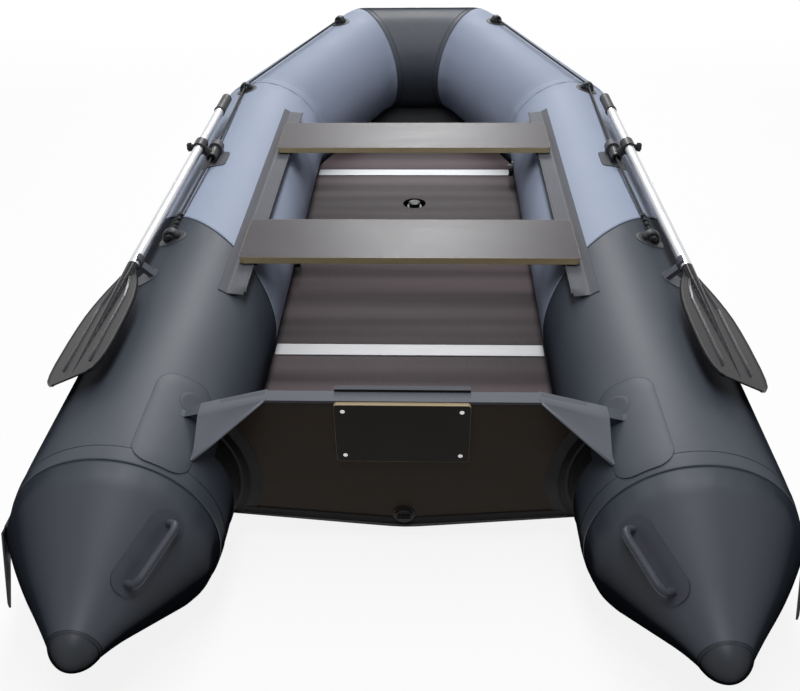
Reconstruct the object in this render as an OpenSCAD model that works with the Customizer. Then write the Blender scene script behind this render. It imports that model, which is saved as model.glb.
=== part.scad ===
// Inflatable dinghy: mitred air tubes, plywood floor, raked transom, sliding benches, stowed oars.
// X points to starboard, Y to the bow and Z up. The origin is on the ground under the hull's middle.

/* [Tubes] */
// Overall length, stern caps to bow strake
boat_length = 3292; // [3000:2:3600]
// Beam over the inflated tubes
boat_beam = 1550; // [1480:2:1640]
// Diameter of the inflated tubes
tube_d = 420; // [400:1:440]
// Thickness of the coated fabric
skin_t = 1.2; // [1:0.1:2]
// Fore and aft reach of the bow quarters, axis to axis
bow_run = 636; // [580:2:700]
// Half length of the bow tube along its axis
bow_half = 215; // [190:1:240]
// Rise of the bow tube above the side tubes
bow_rise = 93; // [60:1:120]
// Length of the tapered stern cones
cone_l = 250; // [200:1:300]
// Diameter of the moulded stern caps
cap_d = 64; // [56:1:100]
// Length of the moulded stern caps
cap_l = 35; // [25:1:38]
// Distance from the stern tips to the slanted colour seam, on the tube axis
seam_from_stern = 1265; // [1200:5:1330]
// Slant of the colour seam in plan
seam_slant = 41; // [20:1:45]
// Thickness of the rub strake
strake_t = 6; // [4:0.5:10]
// Width of the rub strake round the tube
strake_w = 72; // [50:1:100]

/* [Bottom and floor] */
// Angle from the tube's lowest line, inboard, where the bottom meets the side tubes
bottom_a = 55; // [50:1:60]
// The same angle under the bow
bow_bottom_a = 40; // [36:1:44]
// Height of the bottom's middle line above the ground
bottom_mid_z = 50; // [40:1:56]
// Length of the bow rise of the bottom
forefoot_l = 255; // [230:1:280]
// Diameter of the inflatable keel
keel_d = 66; // [60:1:76]
// Thickness of the floorboards
floor_t = 9; // [7:0.5:12]
// Distance from the stern tips to the first floor joiner
joiner_from_stern = 1082; // [1060:2:1110]
// Distance from the bow mitres back to the foremost floor joiner
fore_joiner_back = 188; // [175:1:200]
// Width of the joiner flanges
joiner_w = 50; // [40:1:60]
// Thickness of the joiner walls
joiner_t = 2; // [1.5:0.1:3]
// Diameter of the keel valve's hole in the floor
floor_hole_d = 80; // [70:1:100]

/* [Transom] */
// Distance from the stern tips to the transom's top edge
transom_from_stern = 480; // [465:1:500]
// Height of the transom's top edge
transom_top = 423; // [405:1:435]
// Thickness of the transom board
transom_t = 25; // [18:1:35]
// Aft rake of the transom
transom_rake = 5; // [0:1:10]
// Width of the sloping shoulder, from the level top edge out to the tube axis
shoulder_run = 288; // [270:1:310]
// Fall of the shoulders beside the level edge
shoulder_slope = 15; // [13:1:19]
// Thickness of the edge capping
capping_t = 2.5; // [2:0.1:4]
// Depth of the edge capping's legs
capping_leg = 4; // [3:0.5:12]
// Width of the motor plates
plate_w = 275; // [220:1:300]
// Height of the outer motor plate
plate_h = 160; // [140:1:190]
// Thickness of the motor plates
plate_t = 12; // [9:1:18]
// Inset of the motor plate screws from its edges
screw_inset = 18; // [14:1:30]
// Width of the fabric flange on the transom
flange_w = 48; // [36:1:60]
// Height of the drain above the ground
drain_z = 84; // [80:1:110]

/* [Benches] */
// Distance from the rail's fold in to the bench's end
bench_inset = 6; // [4:0.5:12]
// Depth of a bench fore and aft
bench_w = 216; // [190:1:240]
// Thickness of the bench plywood
bench_t = 18; // [15:1:24]
// Distance from the stern tips to the middle of the rear bench
rear_bench_from_stern = 1204; // [1190:2:1230]
// Distance from the bow mitres back to the middle of the front bench
front_bench_back = 512; // [500:2:530]
// Distance from the bow mitres back to the fore ends of the bench rails
rail_back = 236; // [225:1:245]
// Angle of the rail's fold, inboard from the tube's top
rail_a = 35; // [33:0.5:37]
// Width of the rail's free flap
flap_w = 42; // [38:1:46]
// Diameter of the bead on the flap's edge
bead_d = 6; // [5:0.5:7]

/* [Oars] */
// Distance from the middle of the front bench back to the oar pivots
pivot_back = 245; // [235:1:255]
// Outward lean of the oar pivot pin
pin_lean = 45; // [42:1:46]
// Distance from the barrel axis to the shaft axis
pin_l = 46; // [44:0.5:52]
// Outside diameter of the shaft
shaft_d = 29; // [28:0.5:34]
// Wall of the shaft
shaft_t = 1.5; // [1:0.1:2]
// Length from the pivot to the grip's end
inboard_l = 397; // [370:1:430]
// Length from the pivot to the joint between the shaft's sections
joint_l = 298; // [280:1:320]
// Length from the pivot to the blade's neck
neck_l = 705; // [690:1:730]
// Length of the blade past its neck
blade_l = 445; // [400:1:470]
// Width of the blade
blade_w = 156; // [130:1:170]
// Thickness of the blade
blade_t = 5; // [4:0.5:7]
// Length of the grip
grip_l = 125; // [100:1:140]
// Toe-out of the stowed oar
toe_out = 2.5; // [2:0.1:3]

/* [Fittings] */
// Diameter of the oarlock barrel
barrel_d = 32; // [28:0.5:34]
// Thickness of the oarlock hoop
hoop_t = 6; // [5:0.5:7]
// Diameter of the lifeline
rope_d = 8; // [6:0.5:10]
// Length of the grab handle's base
handle_l = 172; // [150:1:190]
// Width of the grab handle's base
handle_w = 70; // [60:1:78]
// Height of the grab handle's bar above the base
handle_h = 36; // [32:1:42]
// Diameter of the grab handle's bar
handle_bar_d = 16; // [13:0.5:20]
// Diameter of the air valve caps
valve_cap_d = 44; // [38:1:50]

/* [Hidden] */
$fn = 128;
seat_gap = 0.3;
run_gap = 0.05;
reach = 5000;
tube_r = tube_d / 2;
axis_x = (boat_beam - tube_d) / 2;
stern_y = -boat_length / 2;
bow_y = boat_length / 2 - tube_r - seat_gap - strake_t;
mitre_y = bow_y - bow_run;
cone_y = stern_y + cap_l + cone_l;
cap_r = cap_d / 2;
seam_y = stern_y + seam_from_stern;
seam_normal = [-tan(seam_slant), 1, 0];

// Corners of the starboard half of the tube axis, from the cone seam round to the port bow corner
side_start = [axis_x, cone_y, tube_r];
side_end = [axis_x, mitre_y, tube_r];
bow_corner = [bow_half, bow_y, tube_r + bow_rise];
port_corner = [-bow_half, bow_y, tube_r + bow_rise];
quarter_vec = bow_corner - side_end;
quarter_l = norm(quarter_vec);
quarter_turn = atan2(axis_x - bow_half, bow_run);
quarter_pitch = asin(bow_rise / quarter_l);
function unit(v) = v / norm(v);
mitre_normal = [0, 1, 0] + unit(quarter_vec);
bow_normal = unit(quarter_vec) + [-1, 0, 0];

// Cone taper, and the frame of the grab handles on it
cone_taper = (tube_r - cap_r) / cone_l;
cone_slope = atan(cone_taper);
handle_s = 99;
handle_corner_r = 30;
handle_base_t = 4;
handle_a = -51;

// Bottom skin: where it meets the tubes, and its slope
bottom_r = tube_r + seat_gap;
bottom_x = axis_x - bottom_r * sin(bottom_a);
bottom_z = tube_r - bottom_r * cos(bottom_a);
bottom_slope = (bottom_z - bottom_mid_z - skin_t) / bottom_x;
bottom_drop = 4;
bottom_end_y = bow_y - bottom_r * sin(bow_bottom_a);
bottom_mitre_y = mitre_y - bottom_r * sin(bottom_a) * tan(quarter_turn / 2);

// Heights of the keel, joiners and floorboards, stacked from the bottom skin
keel_z = bottom_mid_z + skin_t + seat_gap + keel_d / 2;
keel_top = keel_z + keel_d / 2;
floor_z = keel_top + seat_gap + joiner_t + seat_gap;
floor_top = floor_z + floor_t;
floor_half = axis_x - sqrt(pow(tube_r + seat_gap, 2) - pow(tube_r - floor_top, 2)) - seat_gap;
joiner_start_y = stern_y + joiner_from_stern;
joiner_pitch = (mitre_y - fore_joiner_back - joiner_start_y) / 2;
joiner_y = [for (i = [0:2]) joiner_start_y + i * joiner_pitch];
keel_valve_back = 260;
keel_valve_y = joiner_y[2] - keel_valve_back;
keel_start_y = stern_y + transom_from_stern + 120;
keel_nose_l = 80;
keel_nose_d = 40;
fore_board_run = 253;
fore_board_z = tube_r + bow_rise * fore_board_run / bow_run - floor_top;
fore_board_chord = sqrt(pow(tube_r + seat_gap, 2) - pow(fore_board_z, 2));
fore_board_half = axis_x - fore_board_run * tan(quarter_turn) - fore_board_chord / cos(quarter_turn);
fore_board_straight = 127;

// Transom
transom_y = stern_y + transom_from_stern;
flange_t = 2;
board_r = tube_r + flange_t + 2 * seat_gap;
transom_half = axis_x - shoulder_run;
capping_half = transom_half + 95;
function edge_drop(x) = -max(0, abs(x) - transom_half) * tan(shoulder_slope);
function transom_aft_y(z) = transom_y + (transom_top - z) * tan(transom_rake);
inner_plate_h = 120;
inner_plate_rise = 9;
screw_d = 6;
screw_head_d = 10;
screw_head_h = 3;
screw_sink = 0.2;
screw_l = 30;
plate_corner_r = 8;
screw_x = plate_w / 2 - screw_inset;
screw_z = [-screw_inset, -(plate_h - screw_inset)];
drain_v = (drain_z - transom_top) / cos(transom_rake);
drain_flange_d = 50;
drain_bore_d = 26;
drain_wall = 3;
gusset_a = -47;
gusset_l = 106;
gusset_t = 3;
gusset_patch_d = 70;
gusset_patch_a = -39;
gusset_patch_fore = 46;

// Benches and rails
rail_t = 1.8;
flap_t = 2.5;
wing_a = 28.5;
fold_r = tube_r + seat_gap + rail_t / 2;
fold_x = axis_x - fold_r * sin(rail_a);
fold_z = tube_r + fold_r * cos(rail_a);
bench_z = fold_z + 6;
bench_l = 2 * (fold_x - bench_inset);
bead_x = fold_x - flap_w;
runner_w = 15;
runner_h = 12.5;
bead_z = bench_z - runner_h / 2;
bench_corner_r = 14;
rear_bench_y = stern_y + rear_bench_from_stern;
front_bench_y = mitre_y - front_bench_back;
rail_start_y = rear_bench_y - 247;
rail_l = mitre_y - rail_back - rail_start_y;

// Oarlock: barrel axis on the tube shoulder, pin leaning outward from it
pivot_y = front_bench_y - pivot_back;
barrel_r = barrel_d / 2;
barrel_a = 13;
barrel_h = tube_r + barrel_r + hoop_t;
barrel_bore_d = 20;
barrel_aft = 17;
barrel_fore = 96;
hoop_aft = 50;
hoop_fore = 82;
barrel_centre = [axis_x + barrel_h * sin(barrel_a), pivot_y, tube_r + barrel_h * cos(barrel_a)];
pin_d = 12;
pin_boss_d = 27;
pin_boss_h = barrel_r + 3;
shaft_r = shaft_d / 2;
collar_t = 5;
collar_l = 44;
collar_r = shaft_r + seat_gap + collar_t;
screw_a = 52;
stem_d = 8;
stem_boss_d = 16;
knob_d = 26;
knob_h = 11;
knob_reach = collar_r + 8;
spigot_l = 90;
spigot_r = shaft_r - shaft_t - 0.2;
button_d = 6;
button_back = 30;
button_proud = 3;
grip_d = shaft_d + 4;
grip_end = grip_d / 2 + 2;
neck_plug_l = 40;
blade_tilt = -19;
rib_h = 12;

// Patches and eyelets of the lifeline
patch_t = 1.5;
eyelet_d = 44;
eyelet_l = 24;
eyelet_rise = 6;
eyelet_hole_d = 14;
eyelet_hole_rise = 14;
eyelet_patch_d = 78;
aft_eyelet_back = 490;
aft_eyelet = [pivot_y - aft_eyelet_back, 18];
fore_eyelet = [mitre_y - 81, 16.5];
bow_eyelet = [0.82, 10];
holder_back = neck_l - 24;
holder_l = 24;
holder_t = 4;
holder_stalk_w = 12;
holder_stalk_l = 72;
holder_patch_d = 70;

// Valves on the tubes and on the keel
valve_lift = 44.4;
valve_a = -acos((floor_top + valve_lift - tube_r) / tube_r);
port_valve_y = pivot_y - 180;
starboard_valve_y = joiner_y[2] - 69;
valve_body_d = valve_cap_d - 10;
valve_h = 14;
keel_valve_d = 30;
keel_valve_h = floor_t + 3;

// Places on the starboard side tube and bow quarter, at a rise above the fabric
quarter_side = [cos(quarter_turn), sin(quarter_turn), 0];
quarter_up = cross(quarter_side, unit(quarter_vec));
function side_place(y, angle, rise) =
  [axis_x + (tube_r + rise) * sin(angle), y, tube_r + (tube_r + rise) * cos(angle)];
function quarter_place(share, angle, rise) =
  side_end + share * quarter_vec + (tube_r + rise) * (sin(angle) * quarter_side + cos(angle) * quarter_up);

// Route of the starboard lifeline from bow to stern, through its eyelets and the oarlock barrel
rope_r = rope_d / 2;
bow_loop = quarter_place(bow_eyelet[0], bow_eyelet[1], eyelet_hole_rise);
fore_loop = side_place(fore_eyelet[0], fore_eyelet[1], eyelet_hole_rise);
aft_loop = side_place(aft_eyelet[0], aft_eyelet[1], eyelet_hole_rise);
loop_l = 16;
knot = eyelet_l / 2 + 0.2;
ahead = unit(quarter_vec);
bow_mouth = bow_loop - loop_l * ahead;
fore_mouth = fore_loop + [0, loop_l, 0];
barrel_mouth = barrel_centre - [0, barrel_aft + 5, 0];
aft_mouth = aft_loop + [0, loop_l, 0];
splice_run = unit(barrel_mouth - aft_mouth);
lifeline = [
  [bow_loop + (knot + 12) * ahead, rope_r - 1], [bow_loop + (knot + 8) * ahead, 2 * rope_r],
  [bow_loop + (knot + 0.3) * ahead, 2 * rope_r], [bow_loop + knot * ahead, rope_r],
  [bow_loop, rope_r], [bow_mouth, rope_r],
  [0.75 * bow_mouth + 0.25 * fore_mouth, rope_r], [0.5 * bow_mouth + 0.5 * fore_mouth, rope_r],
  [0.25 * bow_mouth + 0.75 * fore_mouth, rope_r], [fore_mouth, rope_r], [fore_loop, rope_r],
  [fore_loop - [0, loop_l, 0], rope_r], [barrel_centre + [0, barrel_fore + 5, 0], rope_r],
  [barrel_mouth, rope_r], [aft_mouth + 112 * splice_run, rope_r], [aft_mouth + 102 * splice_run, 1.75 * rope_r],
  [aft_mouth + 32 * splice_run, 1.75 * rope_r], [aft_mouth + 22 * splice_run, rope_r], [aft_mouth, rope_r],
  [aft_loop - [0, knot, 0], rope_r], [aft_loop - [0, knot + 0.3, 0], 2 * rope_r],
  [aft_loop - [0, knot + 8, 0], 2 * rope_r], [aft_loop - [0, knot + 12, 0], rope_r - 1]
];

dark_fabric = [0.22, 0.23, 0.25];
light_fabric = [0.62, 0.67, 0.77];
brown_ply = [0.21, 0.17, 0.16];
taupe_ply = [0.40, 0.36, 0.35];
black_mould = [0.08, 0.08, 0.09];
grey_mould = [0.45, 0.46, 0.50];
bright_metal = [0.85, 0.86, 0.88];

// Placing helpers

// Turns local Z along a direction at a point
module along(point, direction) {
  translate(point)
    rotate([0, acos(direction[2] / norm(direction)), atan2(direction[1], direction[0])]) children();
}

// Everything ahead of a plane
module half_space(point, normal) {
  along(point, normal) translate([-reach / 2, -reach / 2, 0]) cube(reach);
}

module port_copy() {
  mirror([1, 0, 0]) children();
}

module both_sides() {
  children();
  mirror([1, 0, 0]) children();
}

// Local Z points out of the starboard side tube at an angle outboard from its top
module on_side(y, angle) {
  translate([axis_x, y, tube_r]) rotate([0, angle, 0]) children();
}

// The same on the bow quarter, at a share of its length
module on_quarter(share, angle) {
  translate(side_end + share * quarter_vec)
    rotate([0, 0, quarter_turn]) rotate([quarter_pitch, 0, 0]) rotate([0, angle, 0]) children();
}

// Local Y runs forward along the stern cone's side and Z stands square to it
module on_cone(back, angle) {
  on_side(cone_y, angle)
    translate([0, -back, tube_r - back * cone_taper]) rotate([cone_slope, 0, 0]) children();
}

// Transom board frame: Y through the board from its aft face, Z up from its top edge
module raked() {
  translate([0, transom_y, transom_top]) rotate([transom_rake, 0, 0]) children();
}

// Extrudes an XZ outline along Y
module slab(y, depth) {
  translate([0, y + depth, 0]) rotate([90, 0, 0]) linear_extrude(depth) children();
}

// Oarlock pin frame: Z along the pin from the barrel axis, Y along the oar towards the grip
module on_pin() {
  translate(barrel_centre) rotate([0, pin_lean, 0]) children();
}

// Oar frame: Y along the shaft towards the grip, Z along the pin, origin on the shaft axis
module on_oar() {
  on_pin() translate([0, 0, pin_l]) rotate([0, 0, toe_out]) children();
}

module tube_solid(radius) {
  translate([axis_x, -reach / 2, tube_r]) rotate([-90, 0, 0]) cylinder(h = reach, r = radius);
}

module rod_y(y, length, radius) {
  translate([0, y, 0]) rotate([-90, 0, 0]) cylinder(h = length, r = radius);
}

module rounded_plate(length, width, radius) {
  square([length, width - 2 * radius], center = true);
  square([length - 2 * radius, width], center = true);
  for (x = [-1, 1], y = [-1, 1])
    translate([x * (length / 2 - radius), y * (width / 2 - radius)]) circle(radius);
}

// Thin glued patch that follows a tube along local Y
module tube_patch(diameter, thickness) {
  intersection() {
    difference() {
      rod_y(-diameter, 2 * diameter, tube_r + seat_gap + thickness);
      rod_y(-diameter - 1, 2 * diameter + 2, tube_r + seat_gap);
    }
    cylinder(h = 2 * tube_r, d = diameter);
  }
}

// The two triangles of a four-cornered facet, split along one diagonal or the other
function facet(a, b, c, d, turned) = turned ? [[a, b, d], [b, c, d]] : [[a, b, c], [a, c, d]];

// Closed skin through rings of equal counts of points, with the turned strips split the other way
module loft(rings, turned = []) {
  count = len(rings[0]);
  last = len(rings) - 1;
  points = [for (ring = rings) each ring];
  sides = [for (i = [0:last - 1], j = [0:count - 1])
    let (k = (j + 1) % count, near = i * count, far = near + count)
    each facet(near + j, near + k, far + k, far + j, len(search(j, turned)) > 0)
  ];
  strip = [for (j = [0:count / 2 - 2]) each [
    [j, j + 1, count - 2 - j], [j, count - 2 - j, count - 1 - j]
  ]];
  first_cap = [for (t = strip) [t[2], t[1], t[0]]];
  last_cap = [for (t = strip) [for (k = t) last * count + k]];
  polyhedron(points, concat(sides, first_cap, last_cap), convexity = 10);
}

// Air tubes

module tube_panel(start, end) {
  run = unit(end - start);
  over = tube_r;
  difference() {
    along(start - over * run, run) cylinder(h = norm(end - start) + 2 * over, r = tube_r);
    along(start - 2 * over * run, run) cylinder(h = norm(end - start) + 4 * over, r = tube_r - skin_t);
  }
}

module stern_cone() {
  color(dark_fabric) translate(side_start) rotate([90, 0, 0]) difference() {
    cylinder(h = cone_l, r1 = tube_r, r2 = cap_r);
    translate([0, 0, -0.01])
      cylinder(h = cone_l + 0.02, r1 = tube_r - skin_t, r2 = cap_r - skin_t);
  }
}

module starboard_stern_cone() stern_cone();
module port_stern_cone() port_copy() stern_cone();

// Moulded dome with a flange ring on the small end of each cone
module end_caps() {
  dome_r = (pow(cap_r, 2) + pow(cap_l, 2)) / (2 * cap_l);
  color(black_mould) both_sides()
    translate([axis_x, cone_y - cone_l, tube_r]) rotate([90, 0, 0]) {
      intersection() {
        translate([0, 0, cap_l - dome_r]) sphere(dome_r);
        cylinder(h = cap_l, r = cap_d);
      }
      cylinder(h = 4, r = cap_r + 2);
    }
}

module aft_tube() {
  color(dark_fabric) difference() {
    tube_panel(side_start, side_end);
    half_space([axis_x, seam_y, tube_r], seam_normal);
    half_space(side_start, [0, -1, 0]);
  }
}

module starboard_aft_tube() aft_tube();
module port_aft_tube() port_copy() aft_tube();

module fore_tube() {
  color(light_fabric) difference() {
    tube_panel(side_start, side_end);
    half_space([axis_x, seam_y, tube_r], -seam_normal);
    half_space(side_end, mitre_normal);
  }
}

module starboard_fore_tube() fore_tube();
module port_fore_tube() port_copy() fore_tube();

module bow_quarter() {
  color(light_fabric) difference() {
    tube_panel(side_end, bow_corner);
    half_space(side_end, -mitre_normal);
    half_space(bow_corner, bow_normal);
  }
}

module starboard_bow_quarter() bow_quarter();
module port_bow_quarter() port_copy() bow_quarter();

module bow_tube() {
  color(dark_fabric) difference() {
    tube_panel(bow_corner, port_corner);
    half_space(bow_corner, -bow_normal);
    port_copy() half_space(bow_corner, -bow_normal);
  }
}

// Fabric wall between the two air chambers
module bow_baffle() {
  color(dark_fabric) translate([-skin_t / 2, bow_y, tube_r + bow_rise]) rotate([0, 90, 0])
    cylinder(h = skin_t, r = tube_r - skin_t - seat_gap);
}

// Rubber band round the outside of the tubes, in lengths that butt at the mitres
module strake_run(length) {
  half_a = strake_w / 2 / tube_r * 180 / PI;
  slab(-tube_r, length + 2 * tube_r) intersection() {
    difference() {
      circle(tube_r + seat_gap + strake_t);
      circle(tube_r + seat_gap);
    }
    polygon([[0, 0], 2 * tube_r * [cos(half_a), sin(half_a)], 2 * tube_r * [cos(half_a), -sin(half_a)]]);
  }
}

// The plane of a mitre, moved back by half a butt gap
module past_mitre(point, normal) {
  half_space(point - unit(normal) * seat_gap / 2, normal);
}

// Tapered end of the strake that stands off the stern cone
module strake_tail() {
  tail_l = 150;
  tail_in = 64;
  outer = tube_r + seat_gap + strake_t;
  inner = tube_r + seat_gap + strake_t / 3;
  translate(side_start) intersection() {
    translate([0, 0, -strake_w / 2]) linear_extrude(strake_w) polygon([
      [outer, 22], [outer, 0], [outer - tail_in, -tail_l], [inner - tail_in, -tail_l], [inner, 0], [inner, 22]
    ]);
    rotate([90, 0, 90]) linear_extrude(2 * tube_r) polygon([
      [22, -strake_w * 0.42], [22, strake_w * 0.42], [0, strake_w * 0.42], [-tail_l, strake_w / 12],
      [-tail_l, -strake_w / 12], [0, -strake_w * 0.42]
    ]);
  }
}

module rub_strake() {
  color(black_mould) {
    both_sides() {
      strake_tail();
      difference() {
        translate(side_start) strake_run(mitre_y - cone_y);
        half_space(side_start + [0, 12, 0], [0, -1, 0]);
        past_mitre(side_end, mitre_normal);
      }
      difference() {
        on_quarter(0, 0) strake_run(quarter_l);
        past_mitre(side_end, -mitre_normal);
        past_mitre(bow_corner, bow_normal);
      }
    }
    difference() {
      translate(bow_corner) rotate([0, 0, 90]) strake_run(2 * bow_half);
      past_mitre(bow_corner, -bow_normal);
      port_copy() past_mitre(bow_corner, -bow_normal);
    }
  }
}

// Bottom, keel and floor

// Half width and height of the bottom's edge under the bow quarter
function quarter_edge(y) =
  let (inset = bottom_r * sin(bow_bottom_a))
  let (run = (y - mitre_y + inset * sin(quarter_turn)) / cos(quarter_turn))
  [axis_x - run * sin(quarter_turn) - inset * cos(quarter_turn),
   tube_r + run * tan(quarter_pitch) - bottom_r * cos(bow_bottom_a) - bottom_drop];

function bottom_ring(y, half, edge_z, keel_line) = [
  [-half, y, edge_z - skin_t], [0, y, keel_line], [half, y, edge_z - skin_t],
  [half, y, edge_z], [0, y, keel_line + skin_t], [-half, y, edge_z]
];

module bottom_skin() {
  forefoot_y = bottom_end_y - forefoot_l;
  knee = quarter_edge(forefoot_y);
  tip = quarter_edge(bottom_end_y);
  color(dark_fabric) loft([
    bottom_ring(transom_aft_y(bottom_z) - 6, bottom_x, bottom_z, bottom_mid_z),
    bottom_ring(bottom_mitre_y, bottom_x, bottom_z, bottom_mid_z),
    bottom_ring(forefoot_y, knee[0], knee[1], bottom_mid_z),
    bottom_ring(bottom_end_y, tip[0], tip[1], tip[1] - bottom_drop)
  ], [1, 4]);
}

module keel_tube() {
  length = bottom_mitre_y - keel_start_y;
  color(dark_fabric) translate([0, keel_start_y, keel_z]) difference() {
    union() {
      rod_y(0, length, keel_d / 2);
      translate([0, length, 0]) rotate([-90, 0, 0])
        cylinder(h = keel_nose_l, r1 = keel_d / 2, r2 = keel_nose_d / 2);
    }
    rod_y(skin_t, length - 2 * skin_t, keel_d / 2 - skin_t);
  }
}

module floorboard(y0, y1) {
  color(brown_ply) translate([-floor_half, y0, floor_z]) cube([2 * floor_half, y1 - y0, floor_t]);
}

function board_end(i, side) = joiner_y[i] + side * (joiner_t / 2 + seat_gap);

module floorboard_aft() floorboard(transom_aft_y(floor_top) + transom_t + 8, board_end(0, -1));
module floorboard_mid_aft() floorboard(board_end(0, 1), board_end(1, -1));

module floorboard_mid_fore() {
  difference() {
    floorboard(board_end(1, 1), board_end(2, -1));
    translate([0, keel_valve_y, floor_z - 1]) cylinder(h = floor_t + 2, d = floor_hole_d);
  }
}

module floorboard_fore() {
  y0 = board_end(2, 1);
  color(brown_ply) translate([0, 0, floor_z]) linear_extrude(floor_t) polygon([
    [-floor_half, y0], [floor_half, y0], [floor_half, mitre_y - fore_board_straight],
    [fore_board_half, mitre_y + fore_board_run], [-fore_board_half, mitre_y + fore_board_run],
    [-floor_half, mitre_y - fore_board_straight]
  ]);
}

// Aluminium H-sections that hold the board ends
module floor_joiners() {
  slot = floor_t + 2 * seat_gap;
  length = 2 * floor_half - 16;
  color(bright_metal) for (y = joiner_y)
    translate([-length / 2, y, floor_z - seat_gap]) {
      translate([0, -joiner_t / 2, -joiner_t]) cube([length, joiner_t, slot + 2 * joiner_t]);
      for (z = [-joiner_t, slot])
        translate([0, -joiner_w / 2, z]) cube([length, joiner_w, joiner_t]);
    }
}

// Transom

module board_outline() {
  side_x = axis_x - tube_r / 3;
  polygon([
    [-side_x, -transom_top - 40], [-side_x, edge_drop(side_x)], [-transom_half, 0], [transom_half, 0],
    [side_x, edge_drop(side_x)], [side_x, -transom_top - 40]
  ]);
}

// Everything below the bottom skin's upper face, raised by a given height
module below_bottom(lift) {
  level = bottom_mid_z + skin_t + lift;
  slab(stern_y, boat_length / 2) polygon([
    [-boat_beam, -boat_beam], [boat_beam, -boat_beam], [boat_beam, level + boat_beam * bottom_slope],
    [0, level], [-boat_beam, level + boat_beam * bottom_slope]
  ]);
}

module transom_blank(y, depth) {
  difference() {
    raked() slab(y, depth) board_outline();
    both_sides() tube_solid(board_r);
    below_bottom(seat_gap);
  }
}

module transom_board() {
  color(brown_ply) difference() {
    transom_blank(0, transom_t);
    raked() translate([0, 0, drain_v]) rod_y(-1, transom_t + 2, drain_bore_d / 2 + drain_wall + seat_gap);
    raked() for (x = [-screw_x, screw_x], z = screw_z)
      translate([x, 0, z]) rod_y(-1, screw_l - plate_t + 3, screw_d / 2 + run_gap);
  }
}

// Folded edging over the level top and both shoulders
module transom_capping() {
  end_drop = edge_drop(capping_half);
  color(light_fabric) difference() {
    raked() slab(-capping_t, transom_t + 2 * capping_t) polygon([
      [-capping_half, end_drop + capping_t], [-transom_half, capping_t], [transom_half, capping_t],
      [capping_half, end_drop + capping_t], [capping_half, end_drop - capping_leg],
      [transom_half, -capping_leg], [-transom_half, -capping_leg], [-capping_half, end_drop - capping_leg]
    ]);
    raked() slab(0, transom_t) board_outline();
    both_sides() tube_solid(board_r);
  }
}

// Plywood pad with a rebate that lets it lie flat over the capping's leg
module outer_motor_plate() {
  color(black_mould) raked() difference() {
    slab(-plate_t, plate_t) translate([0, -plate_h / 2]) rounded_plate(plate_w, plate_h, plate_corner_r);
    translate([-plate_w / 2 - 1, -capping_t, -capping_leg])
      cube([plate_w + 2, capping_t + 1, capping_leg + 1]);
    for (x = [-screw_x, screw_x], z = screw_z) translate([x, -plate_t, z]) {
      screw_shape(run_gap, screw_sink);
      rod_y(-1, 1 + screw_sink, screw_head_d / 2 + run_gap);
    }
  }
}

// Countersunk screw from the plate's face inward, grown by a gap for its hole
module screw_shape(gap, sink) {
  translate([0, sink, 0]) rotate([-90, 0, 0])
    cylinder(h = screw_head_h, r1 = screw_head_d / 2 + gap, r2 = screw_d / 2 + gap);
  rod_y(sink, screw_l, screw_d / 2 + gap);
}

module inner_motor_plate() {
  color(black_mould) raked() translate([-plate_w / 2, transom_t, 0]) difference() {
    translate([0, 0, -inner_plate_h]) cube([plate_w, plate_t, inner_plate_h + inner_plate_rise]);
    translate([-1, -1, -capping_leg])
      cube([plate_w + 2, capping_t + 1, capping_leg + capping_t]);
  }
}

module motor_plate_screws() {
  color(bright_metal) raked() for (x = [-screw_x, screw_x], z = screw_z)
    translate([x, -plate_t, z]) screw_shape(0, screw_sink);
}

// Fabric lip on the aft face, along the tube and the bottom, with the strip glued to the tube
module transom_flange() {
  difference() {
    raked() slab(-flange_t, flange_t) intersection() {
      board_outline();
      polygon([[0, -reach], [reach, -reach], [reach, 0], [0, 0]]);
    }
    difference() {
      translate([0, stern_y, 0]) cube([reach, boat_length / 2, reach]);
      tube_solid(board_r + flange_w);
      below_bottom(flange_w * 0.42);
    }
    tube_solid(tube_r + patch_t + 2 * seat_gap);
    below_bottom(seat_gap);
    raked() slab(-flange_t - 1, flange_t + 2) polygon([
      [0, 1], [axis_x, 1], [axis_x, edge_drop(axis_x) - capping_leg - 3],
      [transom_half, -capping_leg - 3], [0, -capping_leg - 3]
    ]);
    raked() translate([0, -flange_t - 1, drain_v]) rod_y(0, flange_t + 2, drain_flange_d / 2 + 1);
  }
  difference() {
    translate([axis_x, transom_y, tube_r]) slab(-45, 100) intersection() {
      difference() {
        circle(tube_r + seat_gap + flange_t);
        circle(tube_r + seat_gap);
      }
      polygon([[0, 0], [-2 * tube_r, 1.1 * tube_r], [-2 * tube_r, -2 * tube_r], [-0.9 * tube_r, -2 * tube_r]]);
    }
    below_bottom(seat_gap);
  }
}

module transom_flanges() {
  color(black_mould) both_sides() transom_flange();
}

// Brace sheet from the transom's shoulder aft to the tube, and the round patch beside the shoulder
module gussets() {
  foot_r = tube_r + seat_gap + gusset_t / 2;
  foot_x = axis_x + foot_r * sin(gusset_a);
  foot_z = tube_r + foot_r * cos(gusset_a);
  foot_y = transom_aft_y(foot_z) - capping_t - gusset_t;
  corner = [transom_half, transom_y - capping_t - gusset_t, transom_top - capping_leg / 2];
  color(grey_mould) both_sides() {
    hull() for (point = [corner, [foot_x, foot_y, foot_z], [foot_x, foot_y - gusset_l, foot_z]])
      translate(point) sphere(d = gusset_t, $fn = 16);
    on_side(transom_y + gusset_patch_fore, gusset_patch_a) tube_patch(gusset_patch_d, patch_t);
  }
}

module drain_socket() {
  color(black_mould) raked() translate([0, 0, drain_v]) difference() {
    union() {
      rod_y(-drain_wall, drain_wall, drain_flange_d / 2);
      rod_y(-1, transom_t + 1, drain_bore_d / 2 + drain_wall);
    }
    rod_y(-drain_wall - 1, transom_t + drain_wall + 2, drain_bore_d / 2);
  }
}

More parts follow.
